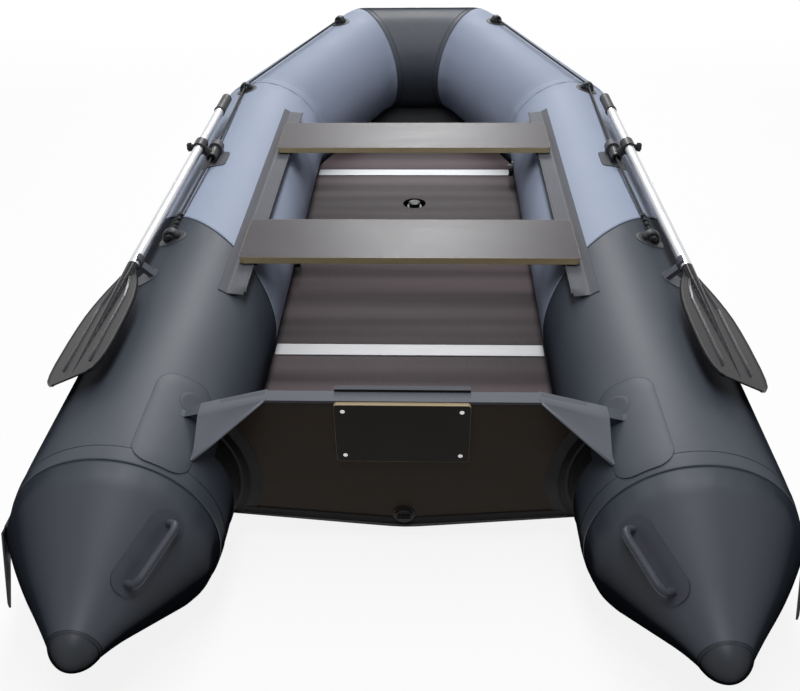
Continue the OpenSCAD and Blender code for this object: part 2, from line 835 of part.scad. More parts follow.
// Screw-in bung with a finger bar
module drain_plug() {
  color(black_mould) raked() translate([0, -drain_wall - seat_gap, drain_v]) {
    rod_y(-5, 5, drain_flange_d / 2 - 5);
    rod_y(-1, transom_t - 4, drain_bore_d / 2 - run_gap);
    translate([-15, -14, -3]) cube([30, 10, 6]);
  }
}

// Benches

// Fabric track: a wing glued to the tube, and a free flap with a bead along its edge
module seat_rail() {
  slab(rail_start_y, rail_l) {
    translate([axis_x, tube_r]) intersection() {
      difference() {
        circle(tube_r + seat_gap + rail_t);
        circle(tube_r + seat_gap);
      }
      polygon([[0, 0], for (a = [wing_a, rail_a + 1]) 2 * tube_r * [-sin(a), cos(a)]]);
    }
    polygon([
      [fold_x, fold_z - rail_t / 2], [fold_x, fold_z + rail_t / 2],
      [bead_x, bead_z + flap_t / 2], [bead_x, bead_z - flap_t / 2]
    ]);
    translate([bead_x, bead_z]) circle(d = bead_d);
  }
}

module seat_rails() {
  color(taupe_ply) both_sides() seat_rail();
}

module bench(y) {
  color(taupe_ply) translate([0, y, bench_z]) linear_extrude(bench_t)
    rounded_plate(bench_l, bench_w, bench_corner_r);
}

// Channel under each bench end, open outboard, that slides on the rail's bead
module bench_runners(y) {
  length = bench_w - 2 * bench_corner_r;
  color(black_mould) both_sides() slab(y - length / 2, length) difference() {
    translate([bead_x - runner_w / 2, bench_z - runner_h]) square([runner_w, runner_h]);
    translate([bead_x, bead_z]) circle(bead_d / 2 + seat_gap);
    translate([bead_x, bead_z - flap_t / 2 - seat_gap]) square([runner_w, flap_t + 2 * seat_gap]);
  }
}

module rear_bench() bench(rear_bench_y);
module rear_bench_runners() bench_runners(rear_bench_y);
module front_bench() bench(front_bench_y);
module front_bench_runners() bench_runners(front_bench_y);

// Valves

module air_valve(y) {
  on_side(y, valve_a) difference() {
    union() {
      translate([0, 0, tube_r - 6]) cylinder(h = 9, d = valve_cap_d + 18);
      translate([0, 0, tube_r]) cylinder(h = valve_h, d = valve_body_d);
    }
    rod_y(-reach / 2, reach, tube_r + seat_gap);
    translate([0, 0, tube_r - 8]) cylinder(h = valve_h + 9, d = valve_body_d - 10);
  }
}

module air_valves() {
  color(black_mould) {
    port_copy() air_valve(port_valve_y);
    air_valve(starboard_valve_y);
  }
}

// Bayonet cap with a skirt and two finger lugs
module valve_cap(body_d, cap_d, height) {
  difference() {
    cylinder(h = height, d = cap_d);
    translate([0, 0, -1]) cylinder(h = height - 2, d = body_d + 2 * seat_gap);
  }
  for (x = [-1, 1]) translate([x * (cap_d / 2 - 5) - 2, -6, height - 1]) cube([4, 12, 4]);
}

module side_valve_cap(y) {
  color(black_mould) on_side(y, valve_a) translate([0, 0, tube_r + 4.5])
    valve_cap(valve_body_d, valve_cap_d, valve_h - 1);
}

module port_valve_cap() port_copy() side_valve_cap(port_valve_y);
module starboard_valve_cap() side_valve_cap(starboard_valve_y);

module keel_valve() {
  color(black_mould) translate([0, keel_valve_y, 0]) difference() {
    union() {
      translate([0, 0, keel_top - 6]) cylinder(h = 8, d = keel_valve_d + 20);
      translate([0, 0, keel_top]) cylinder(h = keel_valve_h, d = keel_valve_d);
    }
    translate([0, 0, keel_z]) rod_y(-keel_d, 2 * keel_d, keel_d / 2 + seat_gap);
    translate([0, 0, keel_top - 8]) cylinder(h = keel_valve_h + 9, d = keel_valve_d - 10);
  }
}

module keel_valve_cap() {
  color(black_mould) translate([0, keel_valve_y, keel_top + 3])
    valve_cap(keel_valve_d, keel_valve_d + 8, keel_valve_h + 1);
}

// Grab handles on the cones: a glued base that follows the fabric, two feet and a round bar

module cone_solid(grow) {
  rise = grow / cos(cone_slope);
  translate(side_start) rotate([90, 0, 0]) cylinder(h = cone_l, r1 = tube_r + rise, r2 = cap_r + rise);
}

module grab_handle() {
  bend_r = handle_bar_d * 1.2;
  foot_y = handle_l / 2 - 22;
  bar_z = handle_h + handle_base_t + 1;
  difference() {
    union() {
      intersection() {
        on_cone(handle_s, handle_a) translate([0, 0, -handle_w / 2]) linear_extrude(handle_w)
          rotate(90) rounded_plate(handle_l, handle_w, handle_corner_r);
        cone_solid(seat_gap + handle_base_t);
      }
      on_cone(handle_s, handle_a) {
        translate([0, 0, bar_z]) rod_y(-foot_y + bend_r, 2 * (foot_y - bend_r), handle_bar_d / 2);
        for (end = [-1, 1]) {
          translate([0, end * foot_y, 0]) cylinder(h = bar_z - bend_r, d = handle_bar_d);
          translate([0, end * (foot_y - bend_r), bar_z - bend_r])
            rotate([90, 0, 90 * end]) rotate_extrude(angle = 90) translate([bend_r, 0]) circle(d = handle_bar_d);
        }
      }
    }
    cone_solid(seat_gap);
  }
}

module grab_handles() {
  color(black_mould) both_sides() grab_handle();
}

// Oarlocks

// Glued pad with a saddle and the hoop that carries the barrel
module oarlock_base() {
  pad_l = 104;
  pad_w = 78;
  saddle_w = 30;
  difference() {
    union() {
      on_side(pivot_y + 18, barrel_a) intersection() {
        rod_y(-pad_l, 2 * pad_l, tube_r + seat_gap + 2.5);
        linear_extrude(2 * tube_r) rounded_plate(pad_w, pad_l, 16);
      }
      on_side(pivot_y, barrel_a) {
        translate([-saddle_w / 2, hoop_aft, tube_r - 6])
          cube([saddle_w, hoop_fore - hoop_aft, barrel_r + hoop_t + 6]);
        translate([0, 0, barrel_h]) rod_y(hoop_aft, hoop_fore - hoop_aft, barrel_r + hoop_t);
      }
    }
    tube_solid(tube_r + seat_gap);
    translate(barrel_centre) rod_y(hoop_aft - 1, hoop_fore - hoop_aft + 2, barrel_r + run_gap);
  }
}

module oarlock_bases() {
  color(grey_mould) both_sides() oarlock_base();
}

// Hollow barrel with end rims, a boss and the pin that the oar swings on
module oarlock_barrel() {
  rim_t = 4;
  color(black_mould) difference() {
    union() {
      translate(barrel_centre) {
        rod_y(-barrel_aft, barrel_aft + barrel_fore, barrel_r);
        rod_y(hoop_fore + seat_gap, rim_t, barrel_r + 3);
      }
      on_pin() {
        cylinder(h = pin_boss_h, d = pin_boss_d);
        cylinder(h = pin_l - shaft_r - 1, d = pin_d);
      }
    }
    translate(barrel_centre) rod_y(-barrel_aft - 1, barrel_aft + barrel_fore + 2, barrel_bore_d / 2);
  }
}

module starboard_oarlock_barrel() oarlock_barrel();
module port_oarlock_barrel() port_copy() oarlock_barrel();

// Oars

// Direction of the thumb screw in the oar frame: outboard from the collar
module on_screw() {
  on_oar() rotate([0, screw_a, 0]) children();
}

// Moulded ring round the shaft with bosses for the pin and the thumb screw
module oar_collar() {
  color(black_mould) difference() {
    union() {
      on_oar() rod_y(-collar_l / 2, collar_l, collar_r);
      on_pin() translate([0, 0, pin_boss_h + seat_gap]) cylinder(h = pin_l - pin_boss_h, d = pin_boss_d);
      on_screw() cylinder(h = knob_reach - seat_gap, d = stem_boss_d);
    }
    on_oar() rod_y(-collar_l, 2 * collar_l, shaft_r + seat_gap);
    on_pin() cylinder(h = pin_l - shaft_r, d = pin_d + 2 * run_gap);
    on_screw() cylinder(h = 2 * knob_reach, d = stem_d + 2 * run_gap);
  }
}

module starboard_oar_collar() oar_collar();
module port_oar_collar() port_copy() oar_collar();

module thumb_screw() {
  lobes = 6;
  color(black_mould) on_screw() {
    translate([0, 0, shaft_r + 1]) cylinder(h = knob_reach - shaft_r, d = stem_d);
    translate([0, 0, knob_reach]) difference() {
      cylinder(h = knob_h, d = knob_d);
      for (i = [0:lobes - 1]) rotate(i * 360 / lobes)
        translate([knob_d / 2 + 2, 0, -1]) cylinder(h = knob_h + 2, d = knob_d / 3);
    }
  }
}

module starboard_thumb_screw() thumb_screw();
module port_thumb_screw() port_copy() thumb_screw();

module button_hole() {
  on_oar() translate([0, -joint_l + button_back, 0]) cylinder(h = shaft_d, d = button_d + 4 * run_gap);
}

module oar_upper_shaft() {
  color(bright_metal) difference() {
    on_oar() difference() {
      rod_y(-joint_l, joint_l + inboard_l - grip_end, shaft_r);
      rod_y(-joint_l - 1, joint_l + inboard_l, shaft_r - shaft_t);
    }
    button_hole();
  }
}

module starboard_oar_upper_shaft() oar_upper_shaft();
module port_oar_upper_shaft() port_copy() oar_upper_shaft();

// Lower section with the thinner spigot that plugs into the upper one
module oar_lower_shaft() {
  length = neck_l - joint_l;
  color(bright_metal) difference() {
    on_oar() translate([0, -joint_l, 0]) difference() {
      union() {
        rod_y(-length, length - seat_gap, shaft_r);
        rod_y(-1, spigot_l, spigot_r);
      }
      rod_y(-length - 1, length + spigot_l + 2, spigot_r - shaft_t);
    }
    button_hole();
  }
}

module starboard_oar_lower_shaft() oar_lower_shaft();
module port_oar_lower_shaft() port_copy() oar_lower_shaft();

// Spring button that locks the two shaft sections
module snap_button() {
  color(bright_metal) on_oar() translate([0, -joint_l + button_back, shaft_r - 6]) {
    cylinder(h = 6 + button_proud - button_d / 2 + 1, d = button_d);
    translate([0, 0, 6 + button_proud - button_d / 2]) sphere(d = button_d);
  }
}

module starboard_snap_button() snap_button();
module port_snap_button() port_copy() snap_button();

// Moulded sleeve with end stop and finger rings
module oar_grip() {
  color(black_mould) on_oar() translate([0, inboard_l - grip_l, 0]) difference() {
    union() {
      rod_y(0, grip_l - grip_d / 4, grip_d / 2);
      rod_y(0, 7, grip_d / 2 + 1.5);
      translate([0, grip_l - grip_d / 2, 0]) sphere(d = grip_d);
    }
    rod_y(-1, grip_l - grip_end + 1 + seat_gap, shaft_r + seat_gap);
  }
}

module starboard_oar_grip() oar_grip();
module port_oar_grip() port_copy() oar_grip();

// Blade outline on one side of its middle line, from the neck to the tip, as shares of length and half width
function blade_side() = [
  [0, 0.19], [0.06, 0.24], [0.12, 0.38], [0.18, 0.54], [0.25, 0.69], [0.32, 0.81], [0.4, 0.91], [0.5, 0.97],
  [0.62, 1], [0.8, 1], [0.89, 0.96], [0.95, 0.88], [0.985, 0.76], [1, 0.58]
];

// Middle line of a stiffening rib and its half width, in the same shares
function blade_rib() = [
  [0.14, 0.21, 0.03], [0.24, 0.34, 0.07], [0.36, 0.45, 0.09], [0.84, 0.45, 0.07], [0.91, 0.45, 0.03]
];

// One edge of the rib, outer or inner
function rib_edge(side) = [for (p = blade_rib()) [p[1] + side * p[2], -p[0] * blade_l]];
function reversed(list) = [for (i = [len(list) - 1:-1:0]) list[i]];

// Moulded blade with a tapered spine, two stiffening ribs and a plug for the shaft
module oar_blade() {
  half = blade_w / 2;
  outline = [for (p = blade_side()) [p[1] * half, -p[0] * blade_l]];
  other = reversed([for (p = outline) [-p[0], p[1]]]);
  rib = concat(rib_edge(1), reversed(rib_edge(-1)));
  color(black_mould) on_oar() translate([0, -neck_l - seat_gap, 0]) rotate([0, blade_tilt, 0]) {
    translate([0, 0, -blade_t / 2]) linear_extrude(blade_t) polygon(concat(outline, other));
    rotate([90, 0, 0]) cylinder(h = blade_l * 0.96, d1 = shaft_d, d2 = blade_t);
    rod_y(-1, neck_plug_l + 1, spigot_r - shaft_t - seat_gap);
    for (side = [-1, 1]) translate([0, 0, -rib_h / 2]) linear_extrude(rib_h)
      polygon([for (p = rib) [side * half * p[0], p[1]]]);
  }
}

module starboard_oar_blade() oar_blade();
module port_oar_blade() port_copy() oar_blade();

// Lifeline, its eyelets and the oar holders

// Rings of a round rope of varying radius along a list of points
function rope_run(path, i) = unit(path[min(len(path) - 1, i + 1)][0] - path[max(0, i - 1)][0]);

function rope_rings(path, sides) = [for (i = [0:len(path) - 1])
  let (run = rope_run(path, i), across = unit(cross(run, [0, 0, 1])), up = cross(across, run))
  [for (k = [0:sides - 1])
    path[i][0] + path[i][1] * (cos(k * 360 / sides) * across + sin(k * 360 / sides) * up)]
];

module lifelines() {
  color(black_mould) both_sides() loft(rope_rings(lifeline, 8));
}

// Moulded arch on a round patch, in a frame whose Z leaves the tube axis and whose Y follows it
module eyelet() {
  difference() {
    translate([0, 0, tube_r + eyelet_rise]) rod_y(-eyelet_l / 2, eyelet_l, eyelet_d / 2);
    rod_y(-eyelet_l, 2 * eyelet_l, tube_r + seat_gap);
    translate([0, 0, tube_r + eyelet_hole_rise]) rod_y(-eyelet_l, 2 * eyelet_l, eyelet_hole_d / 2);
  }
  tube_patch(eyelet_patch_d, patch_t);
}

module lifeline_eyelets() {
  color(black_mould) both_sides() {
    on_side(aft_eyelet[0], aft_eyelet[1]) eyelet();
    on_side(fore_eyelet[0], fore_eyelet[1]) eyelet();
    on_quarter(bow_eyelet[0], bow_eyelet[1]) eyelet();
  }
}

// Elastic clip: an open ring on a stalk from a glued patch
module oar_holder() {
  mouth = 1.2 * shaft_r;
  difference() {
    union() {
      on_oar() {
        rod_y(-holder_back - holder_l / 2, holder_l, shaft_r + seat_gap + holder_t);
        translate([-holder_stalk_w / 2, -holder_back - holder_l / 2, -holder_stalk_l])
          cube([holder_stalk_w, holder_l, holder_stalk_l - shaft_r]);
      }
      on_side(pivot_y - holder_back, 25) tube_patch(holder_patch_d, patch_t);
    }
    tube_solid(tube_r + seat_gap);
    on_oar() rod_y(-holder_back - holder_l, 2 * holder_l, shaft_r + seat_gap);
    on_oar() translate([-mouth, -holder_back - holder_l, 0]) cube([2 * mouth, 2 * holder_l, 3 * shaft_r]);
  }
}

module oar_holders() {
  color(black_mould) both_sides() oar_holder();
}

port_stern_cone();
starboard_stern_cone();
end_caps();
port_aft_tube();
starboard_aft_tube();
port_fore_tube();
starboard_fore_tube();
port_bow_quarter();
starboard_bow_quarter();
bow_tube();
bow_baffle();
rub_strake();
bottom_skin();
keel_tube();
floorboard_aft();
floorboard_mid_aft();
floorboard_mid_fore();
floorboard_fore();
floor_joiners();
transom_board();
transom_capping();
outer_motor_plate();
inner_motor_plate();
motor_plate_screws();
transom_flanges();
gussets();
drain_socket();
drain_plug();
seat_rails();
rear_bench();
rear_bench_runners();
front_bench();
front_bench_runners();
air_valves();
port_valve_cap();
starboard_valve_cap();
keel_valve();
keel_valve_cap();
grab_handles();
oarlock_bases();
port_oarlock_barrel();
starboard_oarlock_barrel();
port_oar_collar();
starboard_oar_collar();
port_oar_upper_shaft();
starboard_oar_upper_shaft();
port_oar_lower_shaft();
starboard_oar_lower_shaft();
port_oar_blade();
starboard_oar_blade();
port_oar_grip();
starboard_oar_grip();
port_thumb_screw();
starboard_thumb_screw();
port_snap_button();
starboard_snap_button();
lifelines();
lifeline_eyelets();
oar_holders();
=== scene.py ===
import math

import bpy
import bmesh
import numpy as np
from mathutils import Matrix, Vector


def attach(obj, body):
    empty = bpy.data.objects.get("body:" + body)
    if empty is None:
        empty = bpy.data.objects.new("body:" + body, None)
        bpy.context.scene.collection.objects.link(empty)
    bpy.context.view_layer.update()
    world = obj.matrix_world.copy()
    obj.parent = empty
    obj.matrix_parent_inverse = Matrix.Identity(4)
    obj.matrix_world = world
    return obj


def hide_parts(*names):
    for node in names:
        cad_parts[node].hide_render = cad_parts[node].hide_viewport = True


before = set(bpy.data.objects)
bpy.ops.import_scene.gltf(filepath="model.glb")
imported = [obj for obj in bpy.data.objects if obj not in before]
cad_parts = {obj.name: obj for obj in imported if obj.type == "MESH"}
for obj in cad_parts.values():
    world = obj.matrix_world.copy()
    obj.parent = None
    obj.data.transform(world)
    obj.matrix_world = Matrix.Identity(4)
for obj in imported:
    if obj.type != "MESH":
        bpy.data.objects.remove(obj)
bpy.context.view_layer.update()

# Studio: a white floor under the boat, a soft lamp above it and a stronger one far ahead of the
# bow, which shows as the sheen on the tubes and benches. The camera looks down from behind the
# stern.
scene = bpy.context.scene
scene.view_settings.view_transform = "Standard"

camera_place, camera_lens, camera_sensor = (0.0507, -2.6172, 1.5547), 41.51, 36.0
camera_pitch, camera_yaw, camera_roll = (math.radians(a) for a in (-34.448, 2.105, 0.814))
camera_turn = Matrix.Rotation(camera_yaw, 3, "Z") @ Matrix.Rotation(camera_pitch, 3, "X")
camera_turn = camera_turn @ Matrix.Rotation(camera_roll, 3, "Y")
camera_right, camera_ahead, camera_up = camera_turn.col
camera_data = bpy.data.cameras.new("camera")
camera_data.lens, camera_data.sensor_width = camera_lens, camera_sensor
camera = bpy.data.objects.new("camera", camera_data)
camera_axes = Matrix((camera_right, camera_up, -camera_ahead)).transposed()
camera.matrix_world = Matrix.Translation(camera_place) @ camera_axes.to_4x4()
scene.collection.objects.link(camera)
scene.camera = camera


def link(tree, source, target):
    tree.links.new(source, target)


def feed(tree, value, socket):
    """Links a socket, or sets a plain number or colour."""
    if isinstance(value, bpy.types.NodeSocket):
        link(tree, value, socket)
    elif value is not None:
        socket.default_value = value


def math_node(tree, operation, a, b=None):
    node = tree.nodes.new("ShaderNodeMath")
    node.operation = operation
    for socket, value in zip(node.inputs, (a, b)):
        feed(tree, value, socket)
    return node.outputs[0]


def range_node(tree, value, low, high, to_low=0.0, to_high=1.0):
    node = tree.nodes.new("ShaderNodeMapRange")
    for socket, number in zip(node.inputs[:5], (value, low, high, to_low, to_high)):
        feed(tree, number, socket)
    return node.outputs[0]


def seen_by_eye(tree):
    """1 for rays that show the backdrop itself: to the camera, in a mirror or through glass."""
    path = tree.nodes.new("ShaderNodeLightPath").outputs
    either = math_node(tree, "MAXIMUM", path["Is Camera Ray"], path["Is Glossy Ray"])
    return math_node(tree, "MAXIMUM", either, path["Is Transmission Ray"])


bounce_light = 0.06
world = bpy.data.worlds.new("studio")
world.use_nodes = True
scene.world = world
world_tree = world.node_tree
backdrop = world_tree.nodes["Background"]
backdrop.inputs["Color"].default_value = (1.0, 1.0, 1.0, 1.0)
link(world_tree, range_node(world_tree, seen_by_eye(world_tree), 0.0, 1.0, bounce_light, 1.0),
     backdrop.inputs["Strength"])

# The floor glows a little less near the boat, where the lamps also light it, than far off.
glow_near, glow_far, glow_at_boat, floor_half = 2.5, 8.0, 0.87, 30
floor_white = bpy.data.materials.new("pale_floor")
floor_white.use_nodes = True
floor_tree = floor_white.node_tree
floor_shader = floor_tree.nodes["Principled BSDF"]
for label, value in (("Roughness", 0.9), ("Specular IOR Level", 0.0), ("Emission Strength", 1.0)):
    floor_shader.inputs[label].default_value = value
floor_coords = floor_tree.nodes.new("ShaderNodeTexCoord")
floor_reach = floor_tree.nodes.new("ShaderNodeVectorMath")
floor_reach.operation = "LENGTH"
link(floor_tree, floor_coords.outputs["Object"], floor_reach.inputs[0])
link(floor_tree, range_node(floor_tree, floor_reach.outputs["Value"], glow_near, glow_far,
                            glow_at_boat, 1.0), floor_shader.inputs["Emission Color"])
floor_noise = floor_tree.nodes.new("ShaderNodeTexNoise")
floor_noise.inputs["Scale"].default_value = 1.0 / floor_half
link(floor_tree, floor_coords.outputs["Object"], floor_noise.inputs["Vector"])
link(floor_tree, range_node(floor_tree, floor_noise.outputs["Fac"], 0.0, 1.0, 0.15, 0.16),
     floor_shader.inputs["Base Color"])
floor_bounce = floor_tree.nodes.new("ShaderNodeBsdfDiffuse")
floor_bounce.inputs["Color"].default_value = (bounce_light, bounce_light, bounce_light, 1.0)
floor_mix = floor_tree.nodes.new("ShaderNodeMixShader")
for source, target in ((seen_by_eye(floor_tree), floor_mix.inputs[0]),
                       (floor_bounce.outputs[0], floor_mix.inputs[1]),
                       (floor_shader.outputs[0], floor_mix.inputs[2]),
                       (floor_mix.outputs[0], floor_tree.nodes["Material Output"].inputs[0])):
    link(floor_tree, source, target)
floor_mesh = bpy.data.meshes.new("studio_floor")
floor_mesh.from_pydata([(x * floor_half, y * floor_half, 0)
                        for x, y in ((-1, -1), (1, -1), (1, 1), (-1, 1))], [], [(0, 1, 2, 3)])
floor_mesh.materials.append(floor_white)
studio_floor = bpy.data.objects.new("studio_floor", floor_mesh)
scene.collection.objects.link(studio_floor)

for lamp_name, lamp_place, lamp_aim, lamp_width, lamp_depth, lamp_watts in (
        ("overhead_lamp", (0.0, -1.0, 4.4), (0.0, -1.0, 0.0), 0.9, 5.5, 130.0),
        ("bow_lamp", (0.0, 6.8, 4.8), (0.0, -0.5, 0.4), 1.5, 3.2, 280.0)):
    lamp_data = bpy.data.lights.new(lamp_name, "AREA")
    lamp_data.shape, lamp_data.energy = "RECTANGLE", lamp_watts
    lamp_data.size, lamp_data.size_y = lamp_width, lamp_depth
    lamp = bpy.data.objects.new(lamp_name, lamp_data)
    lamp_turn = (Vector(lamp_aim) - Vector(lamp_place)).to_track_quat("-Z", "Y")
    lamp.matrix_world = Matrix.Translation(lamp_place) @ lamp_turn.to_matrix().to_4x4()
    lamp.visible_camera = False
    scene.collection.objects.link(lamp)


# Air tubes: panels of coated polyester, welded edge to edge and blown up tight. Each panel is a
# length of one swept skin, a little rounded where the mitres and the stern cones begin, and the
# cones are fuller than straight ones on their outer side and near their caps.
tube_r, skin_t = 0.210, 0.0012
axis_x, seam_y, cone_y, mitre_y, bow_y = 0.565, -0.381, -1.361, 0.7937, 1.4297
bow_half, bow_z = 0.215, 0.303
cone_end_y, cone_end_r = -1.611, 0.032
cone_l = cone_y - cone_end_y
belly_rise, belly_turn, belly_power = 0.050, 0.2, 1.5
swell_rise, swell_reach = 0.011, 0.38
pucker_depth, pucker_reach, pucker_gap = 0.0012, 0.05, 0.012
seam_slant = math.tan(math.radians(41))
around = 112
skin_angles = np.linspace(0.0, 2 * math.pi, around, endpoint=False)
tube_girth = 2 * math.pi * tube_r
hands = ((1, "starboard"), (-1, "port"))


def new_group(name, inputs, outputs):
    """An empty shader group with named sockets, and its two end nodes."""
    group = bpy.data.node_groups.new(name, "ShaderNodeTree")
    for label, kind, value in inputs:
        socket = group.interface.new_socket(label, in_out="INPUT", socket_type="NodeSocket" + kind)
        if value is not None:
            socket.default_value = value
    for label, kind in outputs:
        group.interface.new_socket(label, in_out="OUTPUT", socket_type="NodeSocket" + kind)
    return group, group.nodes.new("NodeGroupInput"), group.nodes.new("NodeGroupOutput")


def mix_colour(tree, factor, low, high):
    node = tree.nodes.new("ShaderNodeMix")
    node.data_type = "RGBA"
    for index, value in ((0, factor), (6, low), (7, high)):
        feed(tree, value, node.inputs[index])
    return node.outputs[2]


def noise_node(tree, vector, scale, detail=2.0):
    node = tree.nodes.new("ShaderNodeTexNoise")
    node.inputs["Detail"].default_value = detail
    link(tree, vector, node.inputs["Vector"])
    feed(tree, scale, node.inputs["Scale"])
    return node.outputs["Fac"]


# Mottle: slow drifts of tone and gloss with a fine tooth, as on coated cloth, film and mouldings.
mottle, mottle_in, mottle_out = new_group(
    "mottle",
    [("Vector", "Vector", None), ("Drift Scale", "Float", 3.0), ("Tooth Scale", "Float", 400.0),
     ("Dark", "Color", (0, 0, 0, 1)), ("Light", "Color", (1, 1, 1, 1)),
     ("Gloss Low", "Float", 0.3), ("Gloss High", "Float", 0.5)],
    [("Colour", "Color"), ("Roughness", "Float"), ("Height", "Float")])
mottle_port = mottle_in.outputs
drift_share, tooth_share = 0.8, 0.2
drift = noise_node(mottle, mottle_port["Vector"], mottle_port["Drift Scale"], 5.0)
drift = range_node(mottle, drift, 0.3, 0.7)
tooth = noise_node(mottle, mottle_port["Vector"], mottle_port["Tooth Scale"])
grit = math_node(mottle, "ADD", math_node(mottle, "MULTIPLY", drift, drift_share),
                 math_node(mottle, "MULTIPLY", tooth, tooth_share))
link(mottle, mix_colour(mottle, grit, mottle_port["Dark"], mottle_port["Light"]),
     mottle_out.inputs["Colour"])
link(mottle, range_node(mottle, drift, 0.0, 1.0, mottle_port["Gloss Low"],
                        mottle_port["Gloss High"]), mottle_out.inputs["Roughness"])
link(mottle, tooth, mottle_out.inputs["Height"])


class Finish:
    """A material built on the mottle group, kept with the nodes that a pattern can add to."""

    def __init__(self, name, dark, light, gloss_range, drift_scale=3.0, tooth_scale=500.0,
                 tooth_depth=0.0002, metallic=0.0, specular=0.5, use_uv=False,
                 stretch=(1.0, 1.0, 1.0)):
        self.material = bpy.data.materials.new(name)
        self.material.use_nodes = True
        self.tree = self.material.node_tree
        self.shader = self.tree.nodes["Principled BSDF"]
        coords = self.tree.nodes.new("ShaderNodeTexCoord")
        self.coords = coords.outputs["UV" if use_uv else "Object"]
        self.skin = self.tree.nodes.new("ShaderNodeGroup")
        self.skin.node_tree = mottle
        link(self.tree, self.stretched(stretch), self.skin.inputs["Vector"])
        for label, value in (("Drift Scale", drift_scale), ("Tooth Scale", tooth_scale),
                             ("Dark", (*dark, 1.0)), ("Light", (*light, 1.0)),
                             ("Gloss Low", gloss_range[0]), ("Gloss High", gloss_range[1])):
            self.skin.inputs[label].default_value = value
        self.bump = self.tree.nodes.new("ShaderNodeBump")
        self.bump.inputs["Distance"].default_value = tooth_depth
        link(self.tree, self.skin.outputs["Colour"], self.shader.inputs["Base Color"])
        link(self.tree, self.skin.outputs["Roughness"], self.shader.inputs["Roughness"])
        link(self.tree, self.skin.outputs["Height"], self.bump.inputs["Height"])
        link(self.tree, self.bump.outputs[0], self.shader.inputs["Normal"])
        self.shader.inputs["Metallic"].default_value = metallic
        self.shader.inputs["Specular IOR Level"].default_value = specular

    def stretched(self, scale):
        """The material's coordinates, scaled by axis."""
        mapping = self.tree.nodes.new("ShaderNodeMapping")
        mapping.inputs["Scale"].default_value = scale
        link(self.tree, self.coords, mapping.inputs["Vector"])
        return mapping.outputs[0]

    def raise_height(self, value, share):
        """Adds a pattern to the fine relief."""
        added = math_node(self.tree, "MULTIPLY", value, share)
        under = self.bump.inputs["Height"].links[0].from_socket
        link(self.tree, math_node(self.tree, "ADD", added, under), self.bump.inputs["Height"])

    def tint(self, mask, colour):
        """Lays a colour, or a socket's colour, over the base where a mask is 1."""
        under = self.shader.inputs["Base Color"].links[0].from_socket
        over = colour if isinstance(colour, bpy.types.NodeSocket) else (*colour, 1.0)
        link(self.tree, mix_colour(self.tree, mask, under, over), self.shader.inputs["Base Color"])

    def satin(self, weight, roughness, full, gone):
        """A satin gloss that fades towards the edge of sight, as on a matt coating."""
        sight = self.tree.nodes.new("ShaderNodeLayerWeight").outputs["Facing"]
        link(self.tree, range_node(self.tree, sight, full, gone, weight, 0.0),
             self.shader.inputs["Coat Weight"])
        self.shader.inputs["Coat Roughness"].default_value = roughness
        return self

    def ridges(self, direction, pitch):
        """Rows of threads or ridges at a pitch in metres. A wave of scale 1 is 0.314 m long."""
        wave = self.tree.nodes.new("ShaderNodeTexWave")
        wave.bands_direction = direction
        wave.inputs["Scale"].default_value = 0.314 / pitch
        link(self.tree, self.coords, wave.inputs["Vector"])
        return wave.outputs["Fac"]

    def weave(self, pitch, share=0.6):
        """The print-through of the base cloth: two crossed rows of threads."""
        rows = [self.ridges(direction, pitch) for direction in "XY"]
        self.raise_height(math_node(self.tree, "MULTIPLY", *rows), share)
        return self


def coated_cloth(name, dark, light, gloss_range, specular, drift_scale=5.0):
    """Coated polyester with 1.1 mm threads, on the cloth's own UV map in metres."""
    finish = Finish(name, dark, light, gloss_range, drift_scale, 900.0, 0.00012,
                    specular=specular, use_uv=True)
    return finish.weave(0.0011)


def unit(v):
    v = np.asarray(v, float)
    return v / np.linalg.norm(v)


def path_lengths(points):
    """The length of a path of points from its start to each of them."""
    return np.concatenate([[0], np.cumsum(np.linalg.norm(np.diff(points, axis=0), axis=1))])


def mitre_point(corner, run, normal, offset):
    """Where a line along run at an offset from the tube's axis meets a mitre plane."""
    return corner + offset - run * (normal @ offset) / (normal @ run)


def skin_line(angle, lift=0.0):
    """One line of the starboard skin from the stern cap to the middle of the bow, as corners.
    The angle is outboard from the tube's top."""
    out = np.array([math.sin(angle), 0.0, math.cos(angle)])
    side_start = np.array([axis_x, cone_y, tube_r])
    side_end = np.array([axis_x, mitre_y, tube_r])
    bow_corner = np.array([bow_half, bow_y, bow_z])
    runs = [np.array([0.0, 1.0, 0.0]), unit(bow_corner - side_end), np.array([-1.0, 0.0, 0.0])]
    offset = out * (tube_r + lift)
    corners = [np.array([axis_x, cone_end_y, tube_r]) + out * (cone_end_r + lift),
               side_start + offset]
    for corner, run, next_run in ((side_end, runs[0], runs[1]), (bow_corner, runs[1], runs[2])):
        normal = unit(run + next_run)
        corners.append(mitre_point(corner, run, normal, offset))
        offset = offset - 2 * normal * (normal @ offset)
        offset = offset - next_run * (next_run @ offset)
    corners.append(np.array([0.0, bow_corner[1] + offset[1], bow_corner[2] + offset[2]]))
    return corners


def rounded_line(corners, reaches=((0.03, 0.12), (0.06, 0.06), (0.05, 0.05)), steps=12):
    """The same line with each inner corner replaced by a short curve.
    Also gives the length at each point and at each corner."""
    points, marks = [corners[0]], [0]
    for i, (before, after) in zip(range(1, len(corners) - 1), reaches):
        a, v, b = corners[i - 1], corners[i], corners[i + 1]
        start, end = v + unit(a - v) * before, v + unit(b - v) * after
        for k in range(steps + 1):
            t = k / steps
            points.append((1 - t) ** 2 * start + 2 * t * (1 - t) * v + t * t * end)
        marks.append(len(points) - 1 - steps // 2)
    points.append(corners[-1])
    marks.append(len(points) - 1)
    points = np.array(points)
    lengths = path_lengths(points)
    return points, lengths, lengths[marks]


